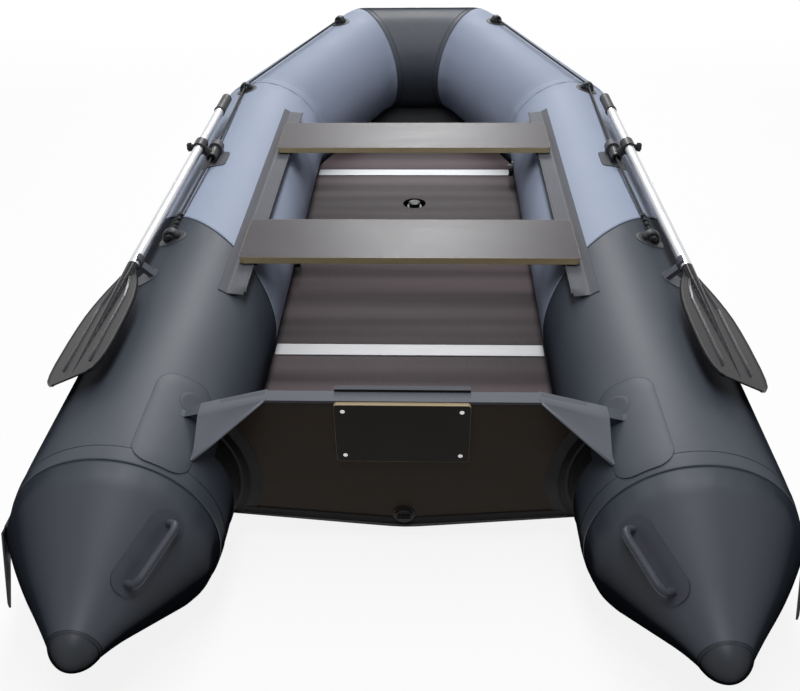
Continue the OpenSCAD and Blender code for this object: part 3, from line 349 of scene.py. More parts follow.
def along_line(line, length):
    """The point at a length along a rounded line."""
    points, lengths, _ = line
    return np.array([np.interp(length, lengths, points[:, i]) for i in range(3)]).T


def seam_lengths(line, angle):
    """Lengths of the seams along one line: stern cap, cone, colour, mitre, bow mitre and the
    middle of the bow."""
    points, lengths, (cap, cone, mitre, bow, middle) = line
    colour_y = seam_y + seam_slant * tube_r * math.sin(angle)
    straight = lengths <= mitre
    colour = float(np.interp(colour_y, points[straight, 1], lengths[straight]))
    return cap, cone, colour, mitre, bow, middle


def uv_mesh(name, points, faces, corners):
    """A smooth mesh with a UV map in metres, given for the corners of its faces in turn."""
    mesh = bpy.data.meshes.new(name)
    mesh.from_pydata(points, [], faces)
    layer = mesh.uv_layers.new(name="UVMap")
    layer.data.foreach_set("uv", np.array(corners, np.float32).ravel())
    mesh.shade_smooth()
    return mesh


def grid_mesh(name, rows, closed_round, uv_rows):
    """A mesh of a grid of points. Columns turned to rows point outwards."""
    count, width = rows.shape[0], rows.shape[1]
    faces, corners = [], []
    for i in range(count - 1):
        for j in range(width if closed_round else width - 1):
            k = (j + 1) % width
            low, high = i * width, (i + 1) * width
            faces.append([low + j, low + k, high + k, high + j])
            corners += [uv_rows[i, j], uv_rows[i, j + 1], uv_rows[i + 1, j + 1], uv_rows[i + 1, j]]
    return uv_mesh(name, rows.reshape(-1, 3).tolist(), faces, corners)


def flat_map(across, along):
    """UV places of a grid from the places of its columns and rows."""
    return np.stack(np.meshgrid(across, along), axis=2)


def handed(side, mesh):
    """A starboard mesh as it is, or turned over for port with its faces outwards again."""
    if side < 0:
        mesh.transform(Matrix.Scale(-1.0, 4, (1.0, 0.0, 0.0)))
        mesh.flip_normals()
    return mesh


def made(shape, name):
    """The mesh of a finished bmesh, which is let go."""
    mesh = bpy.data.meshes.new(name)
    shape.to_mesh(mesh)
    shape.free()
    return mesh


def place(name, mesh, finish, body, slot, *replaced):
    """Links a finished mesh as a piece that rides on a body, in place of CAD nodes."""
    piece = bpy.data.objects.new(name, mesh)
    scene.collection.objects.link(piece)
    mesh.materials.clear()
    mesh.materials.append(finish.material)
    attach(piece, body)
    if replaced:
        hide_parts(*replaced)
    return piece


def baked(piece):
    """The piece's mesh with its modifiers applied."""
    bpy.context.view_layer.update()
    seen = piece.evaluated_get(bpy.context.evaluated_depsgraph_get())
    return bpy.data.meshes.new_from_object(seen)


def thicken(piece, thickness):
    """Gives a skin its wall, inwards. Returns the area of the cut cloth."""
    area = sum(face.area for face in piece.data.polygons)
    wall = piece.modifiers.new("wall", "SOLIDIFY")
    wall.thickness, wall.offset = thickness, -1.0
    solid = baked(piece)
    piece.modifiers.clear()
    thin, piece.data = piece.data, solid
    bpy.data.meshes.remove(thin)
    solid.name = piece.name
    return area


def pucker(rows, near, strength):
    """Small gathers of the cloth beside a welded seam, fading within a hand's width."""
    outward = rows - rows.mean(axis=1, keepdims=True)
    outward /= np.linalg.norm(outward, axis=2, keepdims=True)
    wave = (0.5 * np.sin(17 * skin_angles + 0.6) + 0.3 * np.sin(29 * skin_angles + 2.0)
            + 0.2 * np.sin(41 * skin_angles))
    fade = np.exp(-(near / pucker_reach) ** 2) * (1 - np.exp(-(near / pucker_gap) ** 2))
    return rows + outward * (wave[None, :] * fade[:, None] * strength)[:, :, None]


def tip_swell(share):
    """How much fuller than a straight cone the stern is at a share of the cone's length."""
    return swell_rise * np.clip(1 - share / swell_reach, 0.0, None) ** 2


def tube_panel(name, first, last, spacing, lift=0.0, reach=None):
    """Starboard mesh of one panel between two seams, and its greatest length.
    With a reach it is a tape: a band that far to each side of the first seam."""
    lines = [rounded_line(skin_line(a, lift)) for a in skin_angles]
    seams = np.array([seam_lengths(line, a) for line, a in zip(lines, skin_angles)])
    before, after = reach or (0.0, 0.0)
    starts, ends = seams[:, first] - before, seams[:, last] + after
    sizes = ends - starts
    count = max(3, int(sizes.max() / spacing))
    share = np.linspace(0, 1, count)
    rows = np.array([[along_line(line, start + size * t)
                      for line, start, size in zip(lines, starts, sizes)] for t in share])
    uv = np.zeros((count, around + 1, 2))
    uv[:, :, 0] = np.linspace(0, tube_girth, around + 1)
    uv[:, :around, 1] = starts + sizes * share[:, None]
    uv[:, around, 1] = uv[:, 0, 1]
    cone_share = np.clip((rows[:, :, 1] - cone_end_y) / cone_l, 0.0, 1.0)
    belly = belly_rise * cone_share * (1 - cone_share)
    belly = belly * np.clip(np.sin(skin_angles - belly_turn), 0.0, None) ** belly_power
    belly = belly + tip_swell(cone_share)
    outward = np.stack([np.sin(skin_angles), 0 * skin_angles, np.cos(skin_angles)], axis=1)
    rows = rows + belly[:, :, None] * outward
    if reach is None:
        length = float(sizes.mean())
        rows = pucker(rows, share * length, pucker_depth if first > 0 else 0.0)
        rows = pucker(rows, (1 - share) * length, pucker_depth)
    return grid_mesh(name, rows, True, uv), float(sizes.max())


dark_cloth = ((0.042, 0.050, 0.066), (0.052, 0.061, 0.080), (0.36, 0.42), 0.0)
dark_fabric = coated_cloth("dark_coated_fabric", *dark_cloth).satin(1.0, 0.55, 0.42, 0.82)
cone_fabric = coated_cloth("cone_coated_fabric", *dark_cloth).satin(1.0, 0.52, 0.15, 0.60)
pale_fabric = coated_cloth("pale_coated_fabric", (0.365, 0.422, 0.550), (0.398, 0.458, 0.595),
                           (0.52, 0.62), 0.15)

for side, word in hands:
    for node, first, last, spacing, fabric, slot in (
            ("stern_cone", 0, 1, 0.008, cone_fabric, "dark_fabric"),
            ("aft_tube", 1, 2, 0.012, dark_fabric, "dark_fabric"),
            ("fore_tube", 2, 3, 0.012, pale_fabric, "light_fabric"),
            ("bow_quarter", 3, 4, 0.010, pale_fabric, "light_fabric")):
        mesh, length = tube_panel(f"{word}_{node}_skin", first, last, spacing)
        piece = place(f"{word}_{node}_skin", handed(side, mesh), fabric, "hull", slot,
                      f"{word}_{node}")
        cut = thicken(piece, skin_t)

# The bow tube is one panel from mitre to mitre. The wall between the two air
# chambers is a disc of the same cloth, welded across its middle and out of sight.
bow_shape = bmesh.new()
for side, _ in hands:
    half_mesh, _ = tube_panel("bow_half", 4, 5, 0.008)
    bow_shape.from_mesh(handed(side, half_mesh))
    bpy.data.meshes.remove(half_mesh)
bmesh.ops.remove_doubles(bow_shape, verts=bow_shape.verts, dist=0.0002)
bow_skin = place("bow_tube_skin", made(bow_shape, "bow_tube_skin"), dark_fabric, "hull",
                 "dark_fabric", "bow_tube")
bow_cut = thicken(bow_skin, skin_t)

baffle_r, baffle_t, baffle_crown = 0.2082, 0.001, 0.012
baffle_shares = np.linspace(1.0, 0.02, 9)
baffle_rings = np.array([[(baffle_crown * (1 - s * s), bow_y + s * baffle_r * math.cos(a),
                           bow_z + s * baffle_r * math.sin(a)) for a in skin_angles]
                         for s in baffle_shares])
baffle_uv = flat_map(np.linspace(0, 1, around + 1), np.linspace(0, 0.2, len(baffle_shares)))
baffle = place("bow_baffle_sheet", grid_mesh("bow_baffle_sheet", baffle_rings, True, baffle_uv),
               dark_fabric, "hull", "dark_fabric", "bow_baffle")
baffle_cut = thicken(baffle, baffle_t)

# Seam tapes: strips of the same coated cloth, glued over the welded seams of the cones, the
# mitres and the bow, so that their edges show as thin lines round the tubes.
tape_t, tape_lift = 0.0012, 0.0010
for side, word in hands:
    for label, seam, fabric, slot, reach in (
            ("cone", 1, dark_fabric, "dark_fabric", (0.001, 0.036)),
            ("mitre", 3, pale_fabric, "light_fabric", (0.016, 0.016)),
            ("bow", 4, dark_fabric, "dark_fabric", (0.0, 0.022))):
        name = f"{word}_{label}_tape"
        mesh, _ = tube_panel(name, seam, seam, 0.004, tape_lift, reach)
        tape = place(name, handed(side, mesh), fabric, "hull", slot)
        cut = thicken(tape, tape_t)

# Patches: a broad doubling of dark cloth on each stern tube beside the transom, and a round one
# under its shoulder, both glued flat on the tube with their edges showing.


def tube_spot(s, y, lift, angle=0.0):
    """A point on the starboard tube: s along its girth from an angle, outboard from the top."""
    a = angle + s / tube_r
    return (axis_x + (tube_r + lift) * math.sin(a), y, tube_r + (tube_r + lift) * math.cos(a))


def rounded_outline(width, length, radius, steps=8):
    """Corner points of a rounded rectangle about the origin, anticlockwise."""
    points = []
    for k, (sx, sy) in enumerate(((1, 1), (-1, 1), (-1, -1), (1, -1))):
        cx, cy = sx * (width / 2 - radius), sy * (length / 2 - radius)
        for i in range(steps + 1):
            a = math.pi / 2 * (k + i / steps)
            points.append((cx + radius * math.cos(a), cy + radius * math.sin(a)))
    return np.array(points)


def even_outline(points, pitch):
    """The same closed outline with points at an even pitch."""
    closed = np.vstack([points, points[:1]])
    lengths = path_lengths(closed)
    stations = np.linspace(0, lengths[-1], int(lengths[-1] / pitch), endpoint=False)
    return np.array([[np.interp(t, lengths, closed[:, i]) for i in range(2)] for t in stations])


def patch_mesh(name, outline, spot, thickness, under=0.0005, pitch=0.006, bevel=0.0008):
    """A closed pad over an outline, laid on a surface by spot(s, y, lift)."""
    outline = even_outline(outline, pitch)
    edge = bevel / np.linalg.norm(outline, axis=1).min()
    layers = [(0.25, thickness), (0.5, thickness), (0.75, thickness), (1 - edge, thickness),
              (1.0, 0.4 * thickness), (1.0, -under), (0.75, -under), (0.5, -under), (0.25, -under)]
    count = len(outline)
    points, flat = [], []
    for share, lift in layers:
        for s, y in outline * share:
            points.append(spot(s, y, lift))
            flat.append((s, y))
    faces = []
    for i in range(len(layers) - 1):
        for j in range(count):
            near, far, k = i * count, (i + 1) * count, (j + 1) % count
            faces.append([near + j, far + j, far + k, near + k])
    for ring, lift in ((0, thickness), (len(layers) - 1, -under)):
        points.append(spot(0.0, 0.0, lift))
        flat.append((0.0, 0.0))
        for j in range(count):
            a, b = ring * count + j, ring * count + (j + 1) % count
            faces.append([a, b, len(points) - 1] if ring == 0 else [b, a, len(points) - 1])
    return uv_mesh(name, points, faces, [flat[v] for face in faces for v in face])


shoulder_fabric = coated_cloth("shoulder_fabric", (0.085, 0.092, 0.110), (0.102, 0.110, 0.131),
                               (0.42, 0.5), 0.1)
for side, word in hands:
    for label, width, length, radius, y, degrees, fabric, lift_top in (
            ("doubling", 0.124, 0.275, 0.042, -1.188, -31.2, dark_fabric, 0.0006),
            ("shoulder", 0.070, 0.070, 0.0349, -1.120, -39.0, shoulder_fabric, 0.0014)):
        outline = rounded_outline(width, length, radius)
        name = f"{word}_{label}_patch"
        mesh = patch_mesh(
            name, outline, lambda s, t, lift: tube_spot(s, y + t, lift, math.radians(degrees)),
            lift_top)
        patch = place(name, handed(side, mesh), fabric, "hull", "dark_fabric")

# Stern caps: noses moulded in black PVC, with a short ringed skirt that is welded over the small
# end of each cone.


def moulding(name, dark, light, gloss_range, specular, drift_scale, tooth_scale=1500.0):
    """Moulded PVC or hard plastic with a fine pebbled skin."""
    return Finish(name, dark, light, gloss_range, drift_scale, tooth_scale, 0.0002,
                  specular=specular)


def capped_mesh(name, rows, uv_rows):
    """A closed mesh of rings of points, with its two ends filled."""
    rings = grid_mesh(name + "_rings", rows, True, uv_rows)
    shape = bmesh.new()
    shape.from_mesh(rings)
    bpy.data.meshes.remove(rings)
    bmesh.ops.holes_fill(shape, edges=shape.edges)
    return made(shape, name)


cap_moulding = moulding("cap_moulding", (0.028, 0.032, 0.040), (0.036, 0.041, 0.050),
                        (0.36, 0.44), 0.0, 20.0).satin(0.6, 0.46, 0.15, 0.60)
cap_nose, cap_point, cap_round = 0.0348, 0.36, 2.5
cone_slope = (tube_r - cone_end_r) / cone_l
cap_skirt = ((0.0100, -0.0006), (0.0096, 0.0010), (0.0062, 0.0014), (0.0056, 0.0005),
             (0.0036, 0.0007), (0.0030, 0.0016), (0.0, 0.0018))
cap_profile = [(cone_end_y + y, cone_end_r + y * cone_slope + tip_swell(y / cone_l) + lift)
               for y, lift in cap_skirt]
cap_rim = cap_profile[-1][1]
cap_profile += [(cone_end_y - cap_nose * t,
                 cap_rim * math.sqrt(1 - t ** cap_round) * (1 - cap_point * t))
                for t in (0.06, 0.14, 0.24, 0.35, 0.46, 0.57, 0.67, 0.76, 0.84, 0.90, 0.945,
                          0.975, 0.992, 0.9995)]
cap_angles = np.linspace(0, 2 * math.pi, 49)
cap_rows = np.array([[(axis_x + r * math.sin(a), y, tube_r + r * math.cos(a))
                      for a in cap_angles[:-1]] for y, r in cap_profile[::-1]])
cap_uv = flat_map(cap_angles * cone_end_r, np.linspace(0, 0.06, len(cap_profile)))
for side, word in hands:
    cap_mesh = capped_mesh(f"{word}_stern_cap", cap_rows, cap_uv)
    cap = place(f"{word}_stern_cap", handed(side, cap_mesh), cap_moulding, "hull", "black_pvc")
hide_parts("end_caps")

# Rub strake: an extruded profile of black PVC, glued round the outside of the tubes to take the
# knocks of a quay. It tapers off on the stern cones.


def dress(finish, *names):
    """Gives CAD nodes their material."""
    for name in names:
        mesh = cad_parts[name].data
        mesh.materials.clear()
        mesh.materials.append(finish.material)


black_moulding = moulding("black_moulding", (0.016, 0.017, 0.019), (0.024, 0.025, 0.028),
                          (0.40, 0.55), 0.15, 20.0)
dress(black_moulding, "rub_strake")

# Bottom: one sheet of coated cloth, glued along both tubes and round the bow, and pulled into
# a shallow V by the blown-up keel that lies on it under the floor.
bottom_start, bottom_bend, bottom_end = -1.1428, 0.7494, 1.3345
bottom_stations = np.array([(bottom_start, 0.3927, 0.0882, 0.0500),
                            (bottom_bend, 0.3977, 0.0882, 0.0500),
                            (1.0395, 0.3054, 0.0900, 0.0500), (bottom_end, 0.1651, 0.1330, 0.1300)])
bottom_y = np.concatenate([np.linspace(bottom_start, bottom_bend, 26),
                           np.linspace(bottom_bend, bottom_end, 18)[1:]])
bottom_across, ridge_round = np.linspace(1, -1, 33), 0.004
ridge = np.sqrt(bottom_across ** 2 + ridge_round) - math.sqrt(ridge_round)
ridge = ridge / ridge.max()
bottom_rows, bottom_uv = [], []
for y in bottom_y:
    half, edge_z, keel_z = (np.interp(y, bottom_stations[:, 0], bottom_stations[:, i])
                            for i in (1, 2, 3))
    bottom_rows.append([(half * t, y, keel_z + (edge_z - keel_z) * r)
                        for t, r in zip(bottom_across, ridge)])
    bottom_uv.append([(half * t, y) for t in bottom_across])
bottom_fabric = coated_cloth("bottom_fabric", (0.030, 0.031, 0.034), (0.042, 0.043, 0.047),
                             (0.42, 0.55), 0.3)
bottom_mesh = grid_mesh("bottom_sheet", np.array(bottom_rows), False, np.array(bottom_uv))
bottom = place("bottom_sheet", bottom_mesh, bottom_fabric, "hull", "dark_fabric", "bottom_skin")
bottom_cut = thicken(bottom, skin_t)

keel_r, keel_axis_z = 0.033, 0.0845
keel_profile = np.array([
    (-1.0460, 0.004), (-1.0455, 0.016), (-1.040, 0.025), (-1.020, 0.031), (-0.990, 0.033),
    (-0.30, 0.0332), (0.40, 0.0332), (0.745, 0.033), (0.790, 0.029), (0.820, 0.022),
    (0.8285, 0.012), (0.8290, 0.004)])
keel_y = np.concatenate([np.linspace(-1.0460, -0.98, 12), np.linspace(-0.98, 0.745, 60)[1:],
                         np.linspace(0.745, 0.829, 14)[1:]])
keel_angles = np.linspace(0, 2 * math.pi, 33)
keel_rows = []
for y in keel_y:
    r = min(keel_r, float(np.interp(y, keel_profile[:, 0], keel_profile[:, 1])))
    keel_rows.append([(r * math.sin(a), y, keel_axis_z + r * math.cos(a))
                      for a in keel_angles[:-1]])
keel_mesh = capped_mesh("keel_bladder", np.array(keel_rows), flat_map(keel_r * keel_angles, keel_y))
keel = place("keel_bladder", keel_mesh, bottom_fabric, "hull", "dark_fabric", "keel_tube")

# Floor: four boards of film-faced plywood with a pressed mesh grip and faint cross bands from the
# press, held end to end by extruded aluminium joiners.
grip_pitch, band_stretch = 0.0050, (0.25, 9.0, 1.0)
floor_film = Finish("floor_film", (0.050, 0.038, 0.042), (0.110, 0.089, 0.096), (0.40, 0.50), 5.0,
                    420.0, 0.0003, specular=0.07, stretch=(0.35, 3.2, 1.0))
for direction in "XY":
    grip = floor_film.ridges(direction, grip_pitch)
    floor_film.raise_height(grip, 0.5)
    floor_film.tint(range_node(floor_film.tree, grip, 0.55, 1.0, 0.0, 0.3), (0.095, 0.080, 0.085))
bands = noise_node(floor_film.tree, floor_film.stretched(band_stretch), 1.0, 1.0)
floor_film.tint(range_node(floor_film.tree, bands, 0.35, 0.60, 0.65, 0.0), (0.028, 0.020, 0.021))
floor_film.tint(range_node(floor_film.tree, bands, 0.45, 0.68, 0.0, 0.60), (0.175, 0.140, 0.149))
dress(floor_film, "floorboard_aft", "floorboard_mid_aft", "floorboard_mid_fore", "floorboard_fore")

mill_alloy = Finish("mill_aluminium", (0.42, 0.43, 0.44), (0.50, 0.51, 0.52), (0.52, 0.62), 60.0,
                    900.0, 0.00008, metallic=0.6, stretch=(0.15, 4.0, 4.0))
dress(mill_alloy, "floor_joiners")

# Transom: a board of lacquered plywood between the tubes, with a folded PVC edging over its top,
# moulded holders round its ends and plywood plates that take the motor clamp.
transom_y, transom_top, transom_rake, transom_t = -1.166, 0.423, math.radians(5), 0.025
transom_half, shoulder_slope, capping_leg = 0.277, math.tan(math.radians(15)), 0.004
transom_lacquer = Finish("transom_lacquer", (0.042, 0.029, 0.020), (0.056, 0.040, 0.028),
                         (0.40, 0.5), 14.0, 600.0, 0.0002, specular=0.10, stretch=(0.4, 1.0, 3.0))
dress(transom_lacquer, "transom_board")
edging_pvc = Finish("edging_pvc", (0.125, 0.134, 0.158), (0.145, 0.155, 0.182), (0.42, 0.55), 8.0,
                    900.0, 0.0001, specular=0.15)
dress(edging_pvc, "transom_capping")

# Raw edges of plywood: plies show as stripes wherever a point lies on the rim of a rounded board.
ply, ply_in, ply_out = new_group(
    "ply_edge",
    [("Vector", "Vector", None), ("Half Size", "Vector", None), ("Corner", "Float", 0.01),
     ("Ply", "Float", 0.0016)],
    [("Rim", "Float"), ("Stripe", "Float")])
rim_depth, grain_scale, grain_share = 0.0007, 90.0, 0.5
ply_flat = ply.nodes.new("ShaderNodeSeparateXYZ")
ply_plane = ply.nodes.new("ShaderNodeCombineXYZ")
link(ply, ply_in.outputs["Vector"], ply_flat.inputs[0])
for axis in (0, 1):
    link(ply, ply_flat.outputs[axis], ply_plane.inputs[axis])
ply_step = ply_plane.outputs[0]
for operation in ("ABSOLUTE", "SUBTRACT", "MAXIMUM", "LENGTH"):
    ply_node = ply.nodes.new("ShaderNodeVectorMath")
    ply_node.operation = operation
    link(ply, ply_step, ply_node.inputs[0])
    if operation == "SUBTRACT":
        link(ply, ply_in.outputs["Half Size"], ply_node.inputs[1])
    ply_step = ply_node.outputs["Value" if operation == "LENGTH" else "Vector"]
ply_over = math_node(ply, "SUBTRACT", ply_in.outputs["Corner"], ply_step)
link(ply, math_node(ply, "LESS_THAN", ply_over, rim_depth), ply_out.inputs["Rim"])
ply_grain = noise_node(ply, ply_in.outputs["Vector"], grain_scale, 3.0)
ply_level = math_node(ply, "ADD",
                      math_node(ply, "DIVIDE", ply_flat.outputs[2], ply_in.outputs["Ply"]),
                      math_node(ply, "MULTIPLY", ply_grain, grain_share))
ply_wave = math_node(ply, "SINE", math_node(ply, "MULTIPLY", ply_level, math.pi))
link(ply, range_node(ply, ply_wave, -0.6, 0.6), ply_out.inputs["Stripe"])


def ply_rim(finish, centre, half_size, corner, turn_x, dark, light):
    """Shows the raw plies on the rim of a board whose face lies square to its turned Z."""
    mapping = finish.tree.nodes.new("ShaderNodeMapping")
    mapping.vector_type = "TEXTURE"
    mapping.inputs["Location"].default_value = centre
    mapping.inputs["Rotation"].default_value = (turn_x, 0.0, 0.0)
    link(finish.tree, finish.coords, mapping.inputs["Vector"])
    edge = finish.tree.nodes.new("ShaderNodeGroup")
    edge.node_tree = ply
    link(finish.tree, mapping.outputs[0], edge.inputs["Vector"])
    edge.inputs["Half Size"].default_value = (half_size[0] - corner, half_size[1] - corner, 0.0)
    edge.inputs["Corner"].default_value = corner
    plies = mix_colour(finish.tree, edge.outputs["Stripe"], (*dark, 1.0), (*light, 1.0))
    finish.tint(edge.outputs["Rim"], plies)


def on_transom(x, ahead, up):
    """A point from the top of the board's aft face: ahead square to it, and up along it."""
    return (x, transom_y + ahead * math.cos(transom_rake) - up * math.sin(transom_rake),
            transom_top + ahead * math.sin(transom_rake) + up * math.cos(transom_rake))


plate_half, plate_h, plate_t = 0.1375, 0.160, 0.012
for node, low, high, ahead, corner, ply_dark, ply_light in (
        ("outer_motor_plate", -plate_h, 0.0, -plate_t / 2, 0.008,
         (0.34, 0.26, 0.15), (0.60, 0.50, 0.33)),
        ("inner_motor_plate", -0.120, 0.009, transom_t + plate_t / 2, 0.002,
         (0.075, 0.080, 0.095), (0.105, 0.112, 0.130))):
    film = Finish(f"{node}_film", (0.016, 0.014, 0.012), (0.024, 0.021, 0.019), (0.42, 0.52), 10.0,
                  700.0, 0.0002, specular=0.10)
    ply_rim(film, on_transom(0.0, ahead, (low + high) / 2), (plate_half, (high - low) / 2), corner,
            transom_rake + math.pi / 2, ply_dark, ply_light)
    dress(film, node)

# Plate screws: four countersunk screws of bright steel with a cross recess, driven flush into the
# outer plate. One turned shape is set at the four places, each with its own turn.


def geometry_tree(name, inputs):
    """An empty Geometry Nodes tree with named inputs, and its two end nodes."""
    tree = bpy.data.node_groups.new(name, "GeometryNodeTree")
    tree.interface.new_socket("Geometry", in_out="INPUT", socket_type="NodeSocketGeometry")
    for label, kind in inputs:
        tree.interface.new_socket(label, in_out="INPUT", socket_type="NodeSocket" + kind)
    tree.interface.new_socket("Geometry", in_out="OUTPUT", socket_type="NodeSocketGeometry")
    return tree, tree.nodes.new("NodeGroupInput"), tree.nodes.new("NodeGroupOutput")


def chain(tree, source, *nodes):
    """Links geometry from node to node and returns the last output."""
    for node in nodes:
        socket = next(s for s in node.inputs if s.type == "GEOMETRY" and not s.is_linked)
        link(tree, source, socket)
        source = node.outputs[0]
    return source


def grown(name, points, edges, tree, values, attributes=()):
    """Runs a tree on a few points and edges, and returns the result as a plain mesh."""
    seed = bpy.data.meshes.new(name + "_seed")
    seed.from_pydata([tuple(p) for p in points], edges, [])
    for label, vectors in attributes:
        layer = seed.attributes.new(label, "FLOAT_VECTOR", "POINT")
        layer.data.foreach_set("vector", np.array(vectors, np.float32).ravel())
    holder = bpy.data.objects.new(name + "_seed", seed)
    scene.collection.objects.link(holder)
    modifier = holder.modifiers.new("tree", "NODES")
    modifier.node_group = tree
    for item in tree.interface.items_tree:
        if item.in_out == "INPUT" and item.name in values:
            modifier[item.identifier] = values[item.name]
    mesh = baked(holder)
    mesh.name = name
    bpy.data.objects.remove(holder)
    bpy.data.meshes.remove(seed)
    return mesh


setting, setting_in, setting_out = geometry_tree(
    "set_at_places", [("Shape", "Object"), ("Material", "Material")])
setting_shape = setting.nodes.new("GeometryNodeObjectInfo")
setting_turn = setting.nodes.new("GeometryNodeInputNamedAttribute")
setting_turn.data_type = "FLOAT_VECTOR"
setting_turn.inputs["Name"].default_value = "turn"
setting_euler = setting.nodes.new("FunctionNodeEulerToRotation")
setting_points = setting.nodes.new("GeometryNodeInstanceOnPoints")
setting_real = setting.nodes.new("GeometryNodeRealizeInstances")
setting_finish = setting.nodes.new("GeometryNodeSetMaterial")
for source, target in (
        (setting_in.outputs["Shape"], setting_shape.inputs["Object"]),
        (setting_turn.outputs[0], setting_euler.inputs[0]),
        (setting_shape.outputs["Geometry"], setting_points.inputs["Instance"]),
        (setting_euler.outputs[0], setting_points.inputs["Rotation"]),
        (setting_in.outputs["Material"], setting_finish.inputs["Material"]),
        (setting_in.outputs["Geometry"], setting_points.inputs["Points"])):
    link(setting, source, target)
link(setting, chain(setting, setting_points.outputs[0], setting_real, setting_finish),
     setting_out.inputs[0])


def set_at_places(name, shape_mesh, places, turns, finish):
    """One mesh with a copy of a shape at each place."""
    pattern = bpy.data.objects.new(name + "_pattern", shape_mesh)
    scene.collection.objects.link(pattern)
    mesh = grown(name, places, [], setting, {"Shape": pattern, "Material": finish.material},
                 [("turn", turns)])
    bpy.data.objects.remove(pattern)
    bpy.data.meshes.remove(shape_mesh)
    return mesh


screw_steel = Finish("bright_steel", (0.66, 0.66, 0.67), (0.78, 0.78, 0.79), (0.20, 0.34), 60.0,
                     1200.0, 0.0001, metallic=1.0)
head_r, head_flat_r, head_h, shank_r, screw_l, tip_r = 0.005, 0.0047, 0.003, 0.003, 0.030, 0.0012
recess_r, recess_w, recess_d = 0.0029, 0.0007, 0.0012
screw_round, tip_l, head_edge = 24, 0.002, 0.0002
screw_angles = [2 * math.pi * (k + 0.5) / screw_round for k in range(screw_round)]


def recess_reach(a):
    """How far the cross recess reaches at an angle."""
    c, s = abs(math.cos(a)), abs(math.sin(a))
    return min(recess_r, recess_w / max(min(c, s), 1e-6))


recess = np.array([recess_reach(a) for a in screw_angles])
plain_round = np.ones(screw_round)
screw_shape = bmesh.new()
screw_rings = [[screw_shape.verts.new((r * math.cos(a), y, r * math.sin(a)))
                for r, a in zip(radii, screw_angles)]
               for radii, y in ((0.35 * recess, recess_d), (0.8 * recess, recess_d * 0.8),
                                (recess, 0.0), (head_flat_r * plain_round, 0.0),
                                (head_r * plain_round, head_edge), (shank_r * plain_round, head_h),
                                (shank_r * plain_round, screw_l - tip_l),
                                (tip_r * plain_round, screw_l))]
for near, far in zip(screw_rings, screw_rings[1:]):
    for j in range(screw_round):
        k = (j + 1) % screw_round
        screw_shape.faces.new((near[j], near[k], far[k], far[j]))
screw_shape.faces.new(screw_rings[0][::-1])
screw_shape.faces.new(screw_rings[-1])
bmesh.ops.recalc_face_normals(screw_shape, faces=screw_shape.faces)
screw_inset, screw_sink = 0.018, 0.0002
screw_x, screw_ahead = plate_half - screw_inset, -plate_t + screw_sink
screw_places, screw_turns = [], []
for side in (-1, 1):
    for up in (-screw_inset, -(plate_h - screw_inset)):
        twist = Matrix.Rotation(0.5 + 1.1 * len(screw_places), 3, "Y")
        screw_places.append(on_transom(side * screw_x, screw_ahead, up))
        screw_turns.append((Matrix.Rotation(transom_rake, 3, "X") @ twist).to_euler()[:])
screws = set_at_places("plate_screws", made(screw_shape, "screw"), screw_places, screw_turns,
                       screw_steel)
place("plate_screws", screws, screw_steel, "hull", "steel", "motor_plate_screws")

# Holders: black PVC profiles that grip the ends and the foot of the transom. A ribbed lip lies on
# the board round each tube and along the bottom, and a strip behind it is glued to the tube.


def slab_mesh(name, top, bottom):
    """A closed sheet between two grids of points. Columns turned to rows point out of the top."""
    count, width = top.shape[0], top.shape[1]
    points = np.concatenate([top.reshape(-1, 3), bottom.reshape(-1, 3)])
    size = count * width
    faces = []
    for i in range(count - 1):
        for j in range(width - 1):
            a, b = i * width + j, i * width + j + 1
            c, d = b + width, a + width
            faces += [[a, b, c, d], [size + d, size + c, size + b, size + a]]
    rim = list(range(width)) + [i * width + width - 1 for i in range(1, count)]
    rim += [(count - 1) * width + j for j in range(width - 2, -1, -1)]
    rim += [i * width for i in range(count - 2, 0, -1)]
    faces += [[a, size + a, size + b, b] for a, b in zip(rim, rim[1:] + rim[:1])]
    steps = [np.linalg.norm(np.diff(top, axis=k), axis=2).mean(axis=1 - k) for k in (0, 1)]
    along, across = (np.concatenate([[0], np.cumsum(step)]) for step in steps)
    flat = flat_map(across, along).reshape(-1, 2)
    flat = np.concatenate([flat, flat])
    mesh = uv_mesh(name, points.tolist(), faces, [flat[v] for face in faces for v in face])
    mesh.set_sharp_from_angle(angle=math.radians(40))
    return mesh


def transom_face(x, z, proud):
    """A point on the board's aft face, standing proud of it."""
    return (x, transom_y + (transom_top - z) * math.tan(transom_rake) - proud, z)


keel_line_z, bottom_slope = 0.0512, 0.0972
edging_gap, lip_gap = 0.003, 0.0004


def bottom_line(x):
    """Height of the bottom sheet under the board."""
    return keel_line_z + abs(x) * bottom_slope


def capping_line(x):
    """Height of the edging's lower edge."""
    drop = max(0.0, abs(x) - transom_half) * shoulder_slope
    return transom_top - drop - capping_leg - edging_gap


def lip_spot(r, a, proud):
    """A point of the lip, at a radius and an angle about the tube's axis."""
    return transom_face(axis_x - r * math.sin(a), tube_r + r * math.cos(a), proud)


def lip_fits(r, a):
    """Whether the lip is clear of the bottom and of the edging there."""
    x, _, z = lip_spot(r, a, 0.0)
    return bottom_line(x) + lip_gap < z < capping_line(x)


